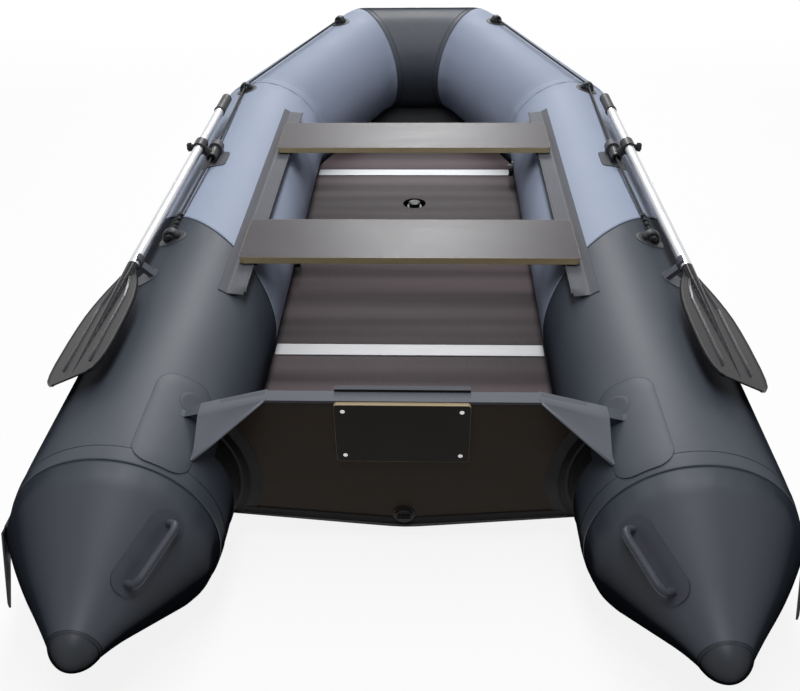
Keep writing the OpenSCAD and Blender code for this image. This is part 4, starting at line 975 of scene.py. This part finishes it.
seat_gap = 0.0001
lip_profile = ((0.2124, 0.0046), (0.2155, 0.0050), (0.2180, 0.0046), (0.2200, 0.0024),
               (0.2330, 0.0024), (0.2350, 0.0034), (0.2385, 0.0034), (0.2405, 0.0018),
               (0.2585, 0.0016), (0.2605, 0.0005))
lip_top, lip_back = [], []
for r, proud in lip_profile:
    span = [a for a in np.linspace(math.radians(30), math.radians(150), 600) if lip_fits(r, a)]
    sweep = np.linspace(span[0], span[-1], 30)
    lip_top.append([lip_spot(r, a, proud) for a in sweep])
    lip_back.append([lip_spot(r, a, seat_gap) for a in sweep])
lip = (np.array(lip_top), np.array(lip_back))
holder_black = moulding("holder_pvc", (0.012, 0.012, 0.013), (0.020, 0.020, 0.022), (0.42, 0.58),
                        0.12, 16.0, 1200.0)
foot_x, foot_h, foot_gap = np.linspace(-0.352, 0.352, 90), 0.020, 0.0003
drain_z, drain_r = 0.084, 0.026


def foot_height(x):
    """Height of the foot strip above the bottom, cut away round the drain."""
    if abs(x) >= drain_r:
        return foot_h
    return min(foot_h, drain_z - math.sqrt(drain_r ** 2 - x * x) - bottom_line(x))


def foot_row(share, proud):
    """One row of the foot strip, at a share of its height."""
    return [transom_face(x, bottom_line(x) + foot_gap + share * foot_height(x), proud)
            for x in foot_x]


foot_profile = ((0.02, 0.0030), (0.32, 0.0030), (0.40, 0.0018), (0.80, 0.0018), (0.86, 0.0026),
                (1.0, 0.0022))
foot_top = np.array([foot_row(share, proud) for share, proud in foot_profile])
foot_back = np.array([foot_row(share, seat_gap) for share, _ in foot_profile])
strip_angles = np.radians(np.linspace(-61.0, -121.0, 30))[::-1]
strip_profile = ((-0.045, 0.0004), (-0.0445, 0.0022), (0.0, 0.0022), (0.054, 0.0022),
                 (0.055, 0.0004))
strip_top = np.array([[tube_spot(0.0, y + transom_y, rise, a) for a in strip_angles]
                      for y, rise in strip_profile])
strip_back = np.array([[tube_spot(0.0, y + transom_y, -0.0005, a) for a in strip_angles]
                       for y, _ in strip_profile])
for side, word in hands:
    for label, (top, back) in (("lip", lip), ("strip", (strip_top, strip_back))):
        name = f"{word}_holder_{label}"
        place(name, handed(side, slab_mesh(name, top, back)), holder_black, "hull", "black_pvc")
place("transom_foot_strip", slab_mesh("transom_foot_strip", foot_top, foot_back), holder_black,
      "hull", "black_pvc", "transom_flanges")

# Gussets: triangles of grey cloth from the transom's shoulders aft to the tubes, hemmed along their
# free edge, lapped over the board and glued to the tube with a narrow tab. A sleeve of dark cloth
# covers the end of the board.
gusset_fabric = coated_cloth("gusset_fabric", (0.150, 0.160, 0.188), (0.175, 0.186, 0.218),
                             (0.42, 0.55), 0.15, 9.0)
gusset_l, gusset_lap, gusset_tab, gusset_proud = 0.098, 0.036, 0.024, 0.0045
gusset_y, corner_lift, corner_turn = transom_y - gusset_proud, 0.0016, math.radians(-47.5)
gusset_apex = np.array([transom_half - 0.003, gusset_y, transom_top + gusset_proud])
gusset_shoulder = np.array([0.414, gusset_y, 0.3905])
gusset_corner = np.array(tube_spot(0.0, gusset_y - gusset_l, corner_lift, corner_turn))
gusset_sag, sag_run = 0.003, np.array([0.35, -0.1, 0.93])
tab_lean, tab_lift = 0.003, 0.0008


def gusset_point(t, c):
    """t runs along the shoulder to the outer edge and on down its tab, c from the board's aft face
    to the aft corner, or forward over the board's shoulder where it is negative."""
    ahead = np.array([0.0, gusset_lap * max(0.0, -c), 0.0])
    edge = gusset_shoulder + (gusset_corner - gusset_shoulder) * max(0.0, c) + ahead
    if t > 1.0:
        across = axis_x - edge[0] - tab_lean
        height = tube_r + math.sqrt((tube_r + tab_lift) ** 2 - across ** 2)
        return np.array([edge[0] + tab_lean * (t - 1), edge[1],
                         edge[2] + (height - edge[2]) * (t - 1)])
    sag = gusset_sag * math.sin(math.pi * t) * math.sin(math.pi * max(0.0, c))
    return (gusset_apex + ahead) * (1 - t) + edge * t - sag_run * sag


gusset_t = np.concatenate([np.linspace(0.0, 1.0, 16), np.linspace(1.2, 2.0, 4)])
gusset_c = np.concatenate([[-1.0, -0.5], np.linspace(0.0, 1.0, 13)])
gusset_top = np.array([[gusset_point(t, c) for t in gusset_t] for c in gusset_c[::-1]])
cloth_drop = np.array([0.0011, 0.0, 0.0011])
gusset_back = gusset_top - cloth_drop
hem_angles, hem_flat = np.linspace(0, 2 * math.pi, 13), 1.6
hem_start, hem_end = gusset_point(0.02, 1.0), gusset_point(1.0, 1.0)
hem_run = unit(hem_end - hem_start)
hem_side = unit(np.cross(hem_run, (0, 0, 1)))
hem_up = np.cross(hem_side, hem_run)
hem_profile = ((0.0, 0.0002), (0.004, 0.0020), (0.3, 0.0024), (0.7, 0.0024), (0.996, 0.0020),
               (1.0, 0.0002))
hem_rows = np.array([[hem_start * (1 - t) + hem_end * t
                      + r * (math.cos(a) * hem_flat * hem_side + math.sin(a) * hem_up)
                      for a in hem_angles[-2::-1]] for t, r in hem_profile])
hem_uv = flat_map(np.linspace(0, 0.016, 13), np.linspace(0, 0.15, len(hem_profile)))
gusset_area = np.cross(gusset_point(1.0, 0.0) - gusset_apex, hem_end - gusset_apex)
gusset_area = float(np.linalg.norm(gusset_area) / 2)
lap_l = 0.17
gusset_area += gusset_lap * lap_l + gusset_tab * gusset_l / 2
sleeve_x, sleeve_proud, sleeve_gap = np.linspace(0.406, 0.452, 6), 0.0040, 0.0004
sleeve_foot = [tube_r + math.sqrt(tube_r ** 2 - (axis_x - x) ** 2) for x in sleeve_x]
sleeve_head = [max(transom_top - (x - transom_half) * shoulder_slope + sleeve_proud,
                   z + sleeve_gap) for x, z in zip(sleeve_x, sleeve_foot)]
sleeve_top, sleeve_back = [], []
for ahead, heights, in_y, in_z in (
        (0.0005, sleeve_foot, 0.0012, -0.0002), (-0.0040, sleeve_head, 0.0012, -0.0012),
        (0.0300, sleeve_head, -0.0012, -0.0012), (0.0335, sleeve_foot, -0.0012, -0.0002)):
    row = np.array([(x, transom_y + ahead, z) for x, z in zip(sleeve_x, heights)])
    sleeve_top.append(row)
    sleeve_back.append(row + (0.0, in_y, in_z))
for side, word in hands:
    name = f"{word}_gusset"
    gusset = place(name, handed(side, slab_mesh(name, gusset_top, gusset_back)), gusset_fabric,
                   "hull", "pale_pvc")
    hem = place(f"{name}_hem", handed(side, grid_mesh(f"{name}_hem", hem_rows, True, hem_uv)),
                gusset_fabric, "hull", "pale_pvc")
    mesh = slab_mesh(f"{word}_shoulder_sleeve", np.array(sleeve_top), np.array(sleeve_back))
    sleeve = place(f"{word}_shoulder_sleeve", handed(side, mesh), dark_fabric, "hull",
                   "dark_fabric")
    if side > 0:
        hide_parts("gussets")

# Drain: a socket moulded in black plastic, set through the foot of the transom, and the bung with
# a finger bar that screws into it from behind.
drain_black = moulding("drain_moulding", (0.012, 0.012, 0.013), (0.020, 0.020, 0.022),
                       (0.34, 0.48), 0.18, 30.0)
dress(drain_black, "drain_socket", "drain_plug")

# Bench rails: long strips of taupe cloth, folded once. A narrow wing is glued to the tube and the
# free flap carries a welded bead, on which the runners under the bench ends slide.
rail_start, rail_end = -0.689, 0.5577
fold_x, fold_z, bead_x, bead_z, bead_r = 0.4439, 0.3830, 0.4019, 0.38275, 0.003
wing_t, flap_t, flap_rise, wing_w = 0.0016, 0.0020, 0.0012, 0.026
aft_droop, aft_droop_l, fore_droop, fore_droop_l = 0.012, 0.028, 0.004, 0.010
ripple_rise, ripple_rate, ripple_phase, skew_rise, skew_l = 0.0001, 23, 1.3, 0.012, 0.1
rail_fabric = coated_cloth("rail_fabric", (0.106, 0.112, 0.130), (0.126, 0.132, 0.151),
                           (0.42, 0.55), 0.10, 7.0)
bead_pvc = Finish("bead_pvc", (0.085, 0.088, 0.098), (0.115, 0.118, 0.130), (0.40, 0.5), 30.0,
                  1200.0, 0.0001, specular=0.15)
rail_section = []
for degrees, lift in ((28.3, 0.0008), (28.6, 0.0021), (30.5, 0.0021), (32.5, 0.0021),
                      (34.2, 0.0021)):
    x, _, z = tube_spot(0.0, 0.0, lift, math.radians(-degrees))
    rail_section.append((x, z, wing_t))
for t in (0.02, 0.10, 0.30, 0.55, 0.80, 0.97):
    rail_section.append((fold_x + (bead_x - fold_x) * t,
                         fold_z + flap_rise + (bead_z - fold_z) * t, flap_t))
rail_fine = rail_start + 0.03
rail_y = np.concatenate([np.linspace(rail_start, rail_fine, 8),
                         np.linspace(rail_fine, rail_end, 82)[1:]])


def rail_droop(y):
    """How far the free flap hangs at its cut ends, clear of where the runners slide."""
    aft, fore = 1 - (y - rail_start) / aft_droop_l, 1 - (rail_end - y) / fore_droop_l
    return aft_droop * max(0.0, aft) ** 2 + fore_droop * max(0.0, fore) ** 2


rail_top, rail_back = [], []
for y in rail_y:
    hang = ripple_rise * math.sin(ripple_rate * y + ripple_phase) - rail_droop(y)
    row_top, row_back = [], []
    for x, z, t in rail_section[::-1]:
        free = max(0.0, (fold_x - x) / (fold_x - bead_x))
        skew = (skew_rise * free) * max(0.0, 1 - (y - rail_start) / skew_l)
        row_top.append((x, y + skew, z + hang * free))
        row_back.append((x, y + skew, z - t + hang * free))
    rail_top.append(row_top)
    rail_back.append(row_back)
bead_tip = 0.0003
bead_profile = [(rail_start + 0.0125, bead_tip), (rail_start + 0.013, bead_r)]
bead_profile += [(y, bead_r) for y in rail_y[2:-1]]
bead_profile += [(rail_end - 0.0005, bead_r), (rail_end, bead_tip)]
bead_rows = np.array([[(bead_x + r * math.sin(a), y, bead_z - rail_droop(y) + r * math.cos(a))
                       for a in hem_angles[:-1]] for y, r in bead_profile])
bead_uv = flat_map(bead_r * hem_angles, np.linspace(rail_start, rail_end, len(bead_rows)))
for side, word in hands:
    mesh = slab_mesh(f"{word}_rail_cloth", np.array(rail_top), np.array(rail_back))
    rail = place(f"{word}_rail_cloth", handed(side, mesh), rail_fabric, "hull", "grey_pvc")
    mesh = grid_mesh(f"{word}_rail_bead", bead_rows, True, bead_uv)
    bead = place(f"{word}_rail_bead", handed(side, mesh), bead_pvc, "hull", "grey_pvc")
    if side > 0:
        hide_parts("seat_rails")

# Benches: two seats of film-faced plywood with raw edges and rounded corners, on black channels
# that are screwed under their ends and slide on the rails' beads.
bench_half, bench_w, bench_corner, bench_z = 0.43785, 0.216, 0.014, 0.398
for node, y in (("rear_bench", -0.442), ("front_bench", 0.2817)):
    film = Finish(f"{node}_film", (0.058, 0.052, 0.060), (0.072, 0.065, 0.074), (0.30, 0.37), 6.0,
                  700.0, 0.0002, specular=0.14, stretch=(0.5, 1.6, 1.0))
    ply_rim(film, (0.0, y, bench_z), (bench_half, bench_w / 2), bench_corner, 0.0,
            (0.27, 0.20, 0.105), (0.88, 0.75, 0.47))
    dress(film, node)
dress(black_moulding, "rear_bench_runners", "front_bench_runners")

# Valves: bodies moulded in PVC and welded into the tubes and the keel, with bayonet caps of black
# plastic that turn a quarter round to lock.
dress(drain_black, "air_valves", "port_valve_cap", "starboard_valve_cap", "keel_valve_cap")
valve_pvc = moulding("valve_pvc", (0.17, 0.19, 0.23), (0.21, 0.23, 0.27), (0.36, 0.46), 0.2, 20.0,
                     1200.0)
dress(valve_pvc, "keel_valve")

# Grab handles: each moulded in one piece of grey PVC with a long base, which is glued to the
# stern cone.
handle_pvc = moulding("handle_pvc", (0.070, 0.075, 0.095), (0.086, 0.092, 0.115), (0.36, 0.46),
                      0.2, 20.0, 1200.0)
dress(handle_pvc, "grab_handles")

# Oarlocks: grey bases with a hoop, glued on the tubes, and black barrels that turn in the hoops.
# A collar with a thumb screw holds each oar on its barrel's pin.
base_pvc = moulding("oarlock_pvc", (0.085, 0.090, 0.104), (0.110, 0.116, 0.132), (0.42, 0.55),
                    0.15, 14.0, 1200.0)
dress(base_pvc, "oarlock_bases")
black_plastic = moulding("black_plastic", (0.016, 0.016, 0.018), (0.026, 0.026, 0.028),
                         (0.32, 0.46), 0.22, 30.0)
dress(black_plastic, "port_oarlock_barrel", "starboard_oarlock_barrel", "port_oar_collar",
      "starboard_oar_collar", "port_thumb_screw", "starboard_thumb_screw")

# Oars: two lengths of satin aluminium tube, plugged together and locked by a steel snap button,
# with a plastic grip and a moulded blade that has a tapered spine, two stiffening ribs and a
# thicker rim.
grip_plastic = moulding("grip_plastic", (0.042, 0.043, 0.047), (0.058, 0.059, 0.064), (0.40, 0.55),
                        0.2, 30.0)
dress(grip_plastic, "port_oar_grip", "starboard_oar_grip")
dress(screw_steel, "port_snap_button", "starboard_snap_button")
shaft_alloy = Finish("satin_aluminium", (0.60, 0.61, 0.63), (0.68, 0.69, 0.71), (0.28, 0.38), 40.0,
                     900.0, 0.00008, metallic=0.9, stretch=(4.0, 0.3, 4.0))
dress(shaft_alloy, "port_oar_upper_shaft", "starboard_oar_upper_shaft", "port_oar_lower_shaft",
      "starboard_oar_lower_shaft")

pivot_y = 0.0367
barrel_centre = np.array([0.61719, pivot_y, 0.43605])
blade_l, blade_half, neck_l, shaft_r = 0.445, 0.078, 0.705, 0.0145
pin_tilt, oar_toe, blade_twist = (math.radians(a) for a in (45, 2.5, -19))
shaft_rise, blade_seat = 0.046, 0.0003
oar_frame = (Matrix.Translation(Vector(barrel_centre)) @ Matrix.Rotation(pin_tilt, 4, "Y")
             @ Matrix.Translation((0, 0, shaft_rise)) @ Matrix.Rotation(oar_toe, 4, "Z"))
blade_frame = (oar_frame @ Matrix.Translation((0, -neck_l - blade_seat, 0))
               @ Matrix.Rotation(blade_twist, 4, "Y"))
outline_u = (0, 0.06, 0.12, 0.18, 0.25, 0.32, 0.40, 0.50, 0.62, 0.80, 0.89, 0.95, 0.985, 1.0)
outline_w = (0.19, 0.24, 0.38, 0.54, 0.69, 0.81, 0.91, 0.97, 1.0, 1.0, 0.96, 0.88, 0.76, 0.58)
rib_u = (0.14, 0.24, 0.36, 0.84, 0.91)
rib_x = (0.21, 0.34, 0.45, 0.45, 0.45)
rib_w = (0.03, 0.07, 0.09, 0.07, 0.03)
web_rise, rim_rise, rim_w, rib_rise = 0.0019, 0.0014, 0.0045, 0.0048
spine_u, spine_end = 0.96, 0.0025
rib_spread, crest_spread, blade_gap = 1.9, 2.4, 0.00005


def on_rib(u, x, spread):
    """1 on the crest of a rib, fading to 0 beside it and past its ends."""
    if not rib_u[0] <= u <= rib_u[-1]:
        return 0.0
    off = abs(x) - np.interp(u, rib_u, rib_x) * blade_half
    return math.exp(-(off / (np.interp(u, rib_u, rib_w) * blade_half) * spread) ** 2)


def blade_rise(u, x, half):
    """Half the blade's thickness at a share of its length and a distance from its middle."""
    rim = (half - abs(x)) / rim_w
    rise = web_rise + rim_rise * math.exp(-rim * rim) + rib_rise * on_rib(u, x, rib_spread)
    spine = shaft_r * (1 - u / spine_u) + spine_end * u / spine_u
    if u < spine_u and abs(x) < spine:
        rise = max(rise, math.sqrt(spine * spine - x * x))
    return rise


blade_u = np.concatenate([[0.0, 0.004], np.linspace(0.02, 0.985, 120), [0.9965, 1.0]])
blade_v = np.sin(np.linspace(-math.pi / 2, math.pi / 2, 161))
blade_v = 0.4 * blade_v + 0.6 * np.linspace(-1, 1, 161)
blade_top, blade_under = [], []
for n, u in enumerate(blade_u):
    half = float(np.interp(u, outline_u, outline_w)) * blade_half
    ends = 0.0 if n in (0, len(blade_u) - 1) else 1.0
    row = [(v * half, -u * blade_l,
            ends * (0.25 if abs(v) > 0.999 else 1.0) * blade_rise(u, v * half, half))
           for v in blade_v[::-1]]
    blade_top.append([(x, y, z + blade_gap) for x, y, z in row])
    blade_under.append([(x, y, -z - blade_gap) for x, y, z in row])
blade_plastic = Finish("blade_plastic", (0.010, 0.010, 0.012), (0.015, 0.015, 0.018), (0.20, 0.27),
                       14.0, 800.0, 0.00004, specular=0.13)
# Painted highlight: a lighter grey laid along the crests of the ribs, standing in for the gloss
# that catches there.
painted_rib_highlight = blade_plastic.tree.nodes.new("ShaderNodeAttribute")
painted_rib_highlight.attribute_name = "crest"
blade_plastic.tint(painted_rib_highlight.outputs["Fac"], (0.115, 0.120, 0.132))
for side, word in hands:
    mesh = slab_mesh(f"{word}_blade", np.array(blade_top), np.array(blade_under))
    # Where the painted rib highlight falls: 1 on the crests of the ribs, fading beside them.
    crest = mesh.attributes.new("crest", "FLOAT", "POINT")
    crest.data.foreach_set("value", [on_rib(-v.co.y / blade_l, v.co.x, crest_spread)
                                     for v in mesh.vertices])
    mesh.transform(blade_frame)
    place(f"{word}_blade", handed(side, mesh), blade_plastic, f"{word}_oar", "blade_plastic",
          f"{word}_oar_blade")

# Lifelines: laid rope, 8 mm thick, tied at the bow eyelet and led aft through the fore eyelet and
# the oarlock barrel to the stern eyelet, where the end is knotted and spliced back.
rope_r, eyelet_rise, knot_reach, lead_reach = 0.004, 0.014, 0.0165, 0.016
barrel_fore, barrel_aft = 0.101, 0.022
quarter_run = np.array([bow_half - axis_x, bow_y - mitre_y, bow_z - tube_r])
quarter_turn = math.atan2(axis_x - bow_half, bow_y - mitre_y)
quarter_pitch = math.asin((bow_z - tube_r) / np.linalg.norm(quarter_run))
quarter_side = np.array([math.cos(quarter_turn), math.sin(quarter_turn), 0.0])
quarter_ahead = unit(quarter_run)
quarter_up = np.cross(quarter_side, quarter_ahead)
aft_eyelet = (pivot_y - 0.490, math.radians(18))
fore_eyelet = (mitre_y - 0.081, math.radians(16.5))
bow_eyelet = (0.82, math.radians(10))


def quarter_spot(share, angle, rise):
    """A point on the starboard bow quarter: a share of its length and an angle from its top."""
    return (np.array([axis_x, mitre_y, tube_r]) + share * quarter_run
            + (tube_r + rise) * (math.sin(angle) * quarter_side + math.cos(angle) * quarter_up))


bow_loop = quarter_spot(*bow_eyelet, eyelet_rise)
fore_loop, aft_loop = (np.array(tube_spot(0.0, y, eyelet_rise, angle))
                       for y, angle in (fore_eyelet, aft_eyelet))
along_y = np.array([0.0, 1.0, 0.0])
rope_route = [bow_loop + knot_reach * quarter_ahead, bow_loop,
              bow_loop - lead_reach * quarter_ahead,
              fore_loop + lead_reach * along_y, fore_loop, fore_loop - lead_reach * along_y,
              barrel_centre + barrel_fore * along_y, barrel_centre - barrel_aft * along_y,
              aft_loop + lead_reach * along_y, aft_loop, aft_loop - knot_reach * along_y]


def even_path(points, pitch, smooth=0):
    """Points at an even pitch along a path, with its corners eased."""
    points = np.array(points)
    lengths = path_lengths(points)
    stations = np.linspace(0, lengths[-1], max(3, int(round(lengths[-1] / pitch))))
    path = np.array([np.interp(stations, lengths, points[:, i]) for i in range(3)]).T
    for _ in range(smooth):
        path[1:-1] = 0.25 * path[:-2] + 0.5 * path[1:-1] + 0.25 * path[2:]
    return path


# A tree that lays three strands along a path: a three-lobed section, twisted as it is swept.
lobe_depth, lobe_mean = 0.12, 0.90
laid, laid_in, laid_out = geometry_tree(
    "laid_rope", [("Radius", "Float"), ("Lay", "Float"), ("Material", "Material")])
laid_curve = laid.nodes.new("GeometryNodeMeshToCurve")
laid_tilt = laid.nodes.new("GeometryNodeSetCurveTilt")
laid_length = laid.nodes.new("GeometryNodeSplineParameter")
laid_section = laid.nodes.new("GeometryNodeCurvePrimitiveCircle")
laid_section.inputs["Resolution"].default_value = 18
laid_shape = laid.nodes.new("GeometryNodeSetPosition")
laid_place = laid.nodes.new("GeometryNodeInputPosition")
laid_xyz = laid.nodes.new("ShaderNodeSeparateXYZ")
laid_scale = laid.nodes.new("ShaderNodeVectorMath")
laid_scale.operation = "SCALE"
laid_sweep = laid.nodes.new("GeometryNodeCurveToMesh")
laid_sweep.inputs["Fill Caps"].default_value = True
laid_smooth = laid.nodes.new("GeometryNodeSetShadeSmooth")
laid_real = laid.nodes.new("GeometryNodeRealizeInstances")
laid_finish = laid.nodes.new("GeometryNodeSetMaterial")
link(laid, laid_in.outputs["Radius"], laid_section.inputs["Radius"])
link(laid, laid_place.outputs[0], laid_xyz.inputs[0])
laid_angle = math_node(laid, "ARCTAN2", laid_xyz.outputs[1], laid_xyz.outputs[0])
laid_lobe = math_node(laid, "COSINE", math_node(laid, "MULTIPLY", laid_angle, 3.0))
laid_lobe = math_node(laid, "MULTIPLY", laid_lobe, lobe_depth)
link(laid, laid_place.outputs[0], laid_scale.inputs[0])
link(laid, math_node(laid, "ADD", laid_lobe, lobe_mean), laid_scale.inputs["Scale"])
link(laid, laid_scale.outputs[0], laid_shape.inputs["Position"])
laid_turns = math_node(laid, "DIVIDE", laid_length.outputs["Length"], laid_in.outputs["Lay"])
link(laid, math_node(laid, "MULTIPLY", laid_turns, 2 * math.pi), laid_tilt.inputs["Tilt"])
link(laid, chain(laid, laid_section.outputs[0], laid_shape), laid_sweep.inputs["Profile Curve"])
link(laid, laid_in.outputs["Material"], laid_finish.inputs["Material"])
link(laid, chain(laid, laid_in.outputs["Geometry"], laid_curve, laid_tilt),
     laid_sweep.inputs["Curve"])
link(laid, chain(laid, laid_sweep.outputs[0], laid_smooth, laid_real, laid_finish),
     laid_out.inputs[0])
rope_fibre = Finish("rope_fibre", (0.012, 0.012, 0.014), (0.030, 0.030, 0.034), (0.50, 0.65),
                    300.0, 2500.0, 0.0004, specular=0.3)


def laid_rope(name, path, radius, lay=0.030):
    """A length of laid rope along a path, as a plain mesh."""
    edges = [(i, i + 1) for i in range(len(path) - 1)]
    return grown(name, path, edges, laid,
                 {"Radius": radius, "Lay": lay, "Material": rope_fibre.material})


def coil_round(middle, run, radius, turns, length, steps=20):
    """Points of a coil about a line, centred on a point."""
    side = unit(np.cross(run, (0, 0, 1)))
    up = np.cross(side, run)
    count = int(turns * steps)
    angles = [2 * math.pi * turns * k / count for k in range(count + 1)]
    return np.array([middle + run * length * (k / count - 0.5)
                     + radius * (math.cos(a) * side + math.sin(a) * up)
                     for k, a in enumerate(angles)])


splice_start = aft_loop + lead_reach * along_y
splice_run = unit(barrel_centre - barrel_aft * along_y - splice_start)
knot_size, splice_size = (0.0042, 2.3, 0.0085, 0.0040), (0.0048, 3.0, 0.075, 0.0034)
knot_off, splice_off, wound_lay = 0.0185, 0.068, 0.024
for side, word in hands:
    flip = np.array([side, 1.0, 1.0])
    path = even_path(rope_route, 0.0025, 6) * flip
    rope = place(f"{word}_lifeline", laid_rope(f"{word}_lifeline", path, rope_r), rope_fibre,
                 "hull", "rope")
    for label, middle, run, (radius, turns, length, thick) in (
            ("bow_knot", bow_loop + knot_off * quarter_ahead, quarter_ahead, knot_size),
            ("stern_knot", aft_loop - knot_off * along_y, along_y, knot_size),
            ("splice", splice_start + splice_off * splice_run, splice_run, splice_size)):
        coil = coil_round(middle, run, radius, turns, length) * flip
        name = f"{word}_{label}"
        mesh = laid_rope(name, coil, thick, wound_lay)
        place(name, mesh, rope_fibre, "hull", "rope")
    if side > 0:
        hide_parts("lifelines")

# Eyelets: hoods moulded in black PVC on round bases, glued to the tubes at the bow, the mitre and
# the stern. The lifeline runs through the hole in each hood.
eyelet_hole, eyelet_patch_r, eyelet_base_t, hood_round = 0.0070, 0.039, 0.0018, 40
hood_turns = np.radians((0, 30, 60, 90, 112, 130, 150, 180))
hood_reach = np.array((14.0, 14.8, 16.8, 20.5, 26.5, 24.0, 18.0, 16.0)) / 1000
hood_angles = np.linspace(-math.pi, math.pi, hood_round, endpoint=False)
hood_outer = np.interp(np.abs(hood_angles), hood_turns, hood_reach)
hood_hole = np.full(hood_round, eyelet_hole)
hood_half = ((hood_hole, 0.0088), (hood_hole * 1.12, 0.0112),
             (0.5 * (hood_hole + hood_outer), 0.0122), (hood_outer * 0.92, 0.0108),
             (hood_outer, 0.0076))
hood_rings = [(radii, -y) for radii, y in hood_half] + [(hood_outer * 1.01, 0.0)]
hood_rings += hood_half[::-1]
eyelet_shape = bmesh.new()
hood_verts = [[eyelet_shape.verts.new((r * math.sin(a), y, eyelet_rise + r * math.cos(a)))
               for r, a in zip(radii, hood_angles)] for radii, y in hood_rings]
for near, far in zip(hood_verts, hood_verts[1:] + hood_verts[:1]):
    for j in range(hood_round):
        k = (j + 1) % hood_round
        eyelet_shape.faces.new((near[j], near[k], far[k], far[j])).smooth = True
bmesh.ops.recalc_face_normals(eyelet_shape, faces=eyelet_shape.faces)
base_outline = rounded_outline(2 * eyelet_patch_r, 2 * eyelet_patch_r, eyelet_patch_r - 0.0001)
base_mesh = patch_mesh(
    "eyelet_base", base_outline,
    lambda s, y, lift: (s, y, math.sqrt((tube_r + lift) ** 2 - s * s) - tube_r), eyelet_base_t)
eyelet_shape.from_mesh(base_mesh)
bpy.data.meshes.remove(base_mesh)
eyelet_places, eyelet_turns = [], []
for side, _ in hands:
    for y, angle in (aft_eyelet, fore_eyelet):
        eyelet_places.append(np.array(tube_spot(0.0, y, 0.0, angle)) * (side, 1, 1))
        eyelet_turns.append(Matrix.Rotation(side * angle, 3, "Y").to_euler()[:])
    eyelet_places.append(quarter_spot(*bow_eyelet, 0.0) * (side, 1, 1))
    bow_turn = (Matrix.Rotation(side * quarter_turn, 3, "Z")
                @ Matrix.Rotation(quarter_pitch, 3, "X")
                @ Matrix.Rotation(side * bow_eyelet[1], 3, "Y"))
    eyelet_turns.append(bow_turn.to_euler()[:])
eyelet_pvc = moulding("eyelet_pvc", (0.036, 0.038, 0.043), (0.048, 0.050, 0.056), (0.38, 0.50),
                      0.2, 24.0, 1200.0)
eyelets = set_at_places("eyelets", made(eyelet_shape, "eyelet"), eyelet_places, eyelet_turns,
                        eyelet_pvc)
place("eyelets", eyelets, eyelet_pvc, "hull", "black_pvc", "lifeline_eyelets")

# Oar holders: elastic clips moulded in grey PVC on round bases, glued to the tubes. They grip the
# shafts just above the blades.
dress(handle_pvc, "oar_holders")
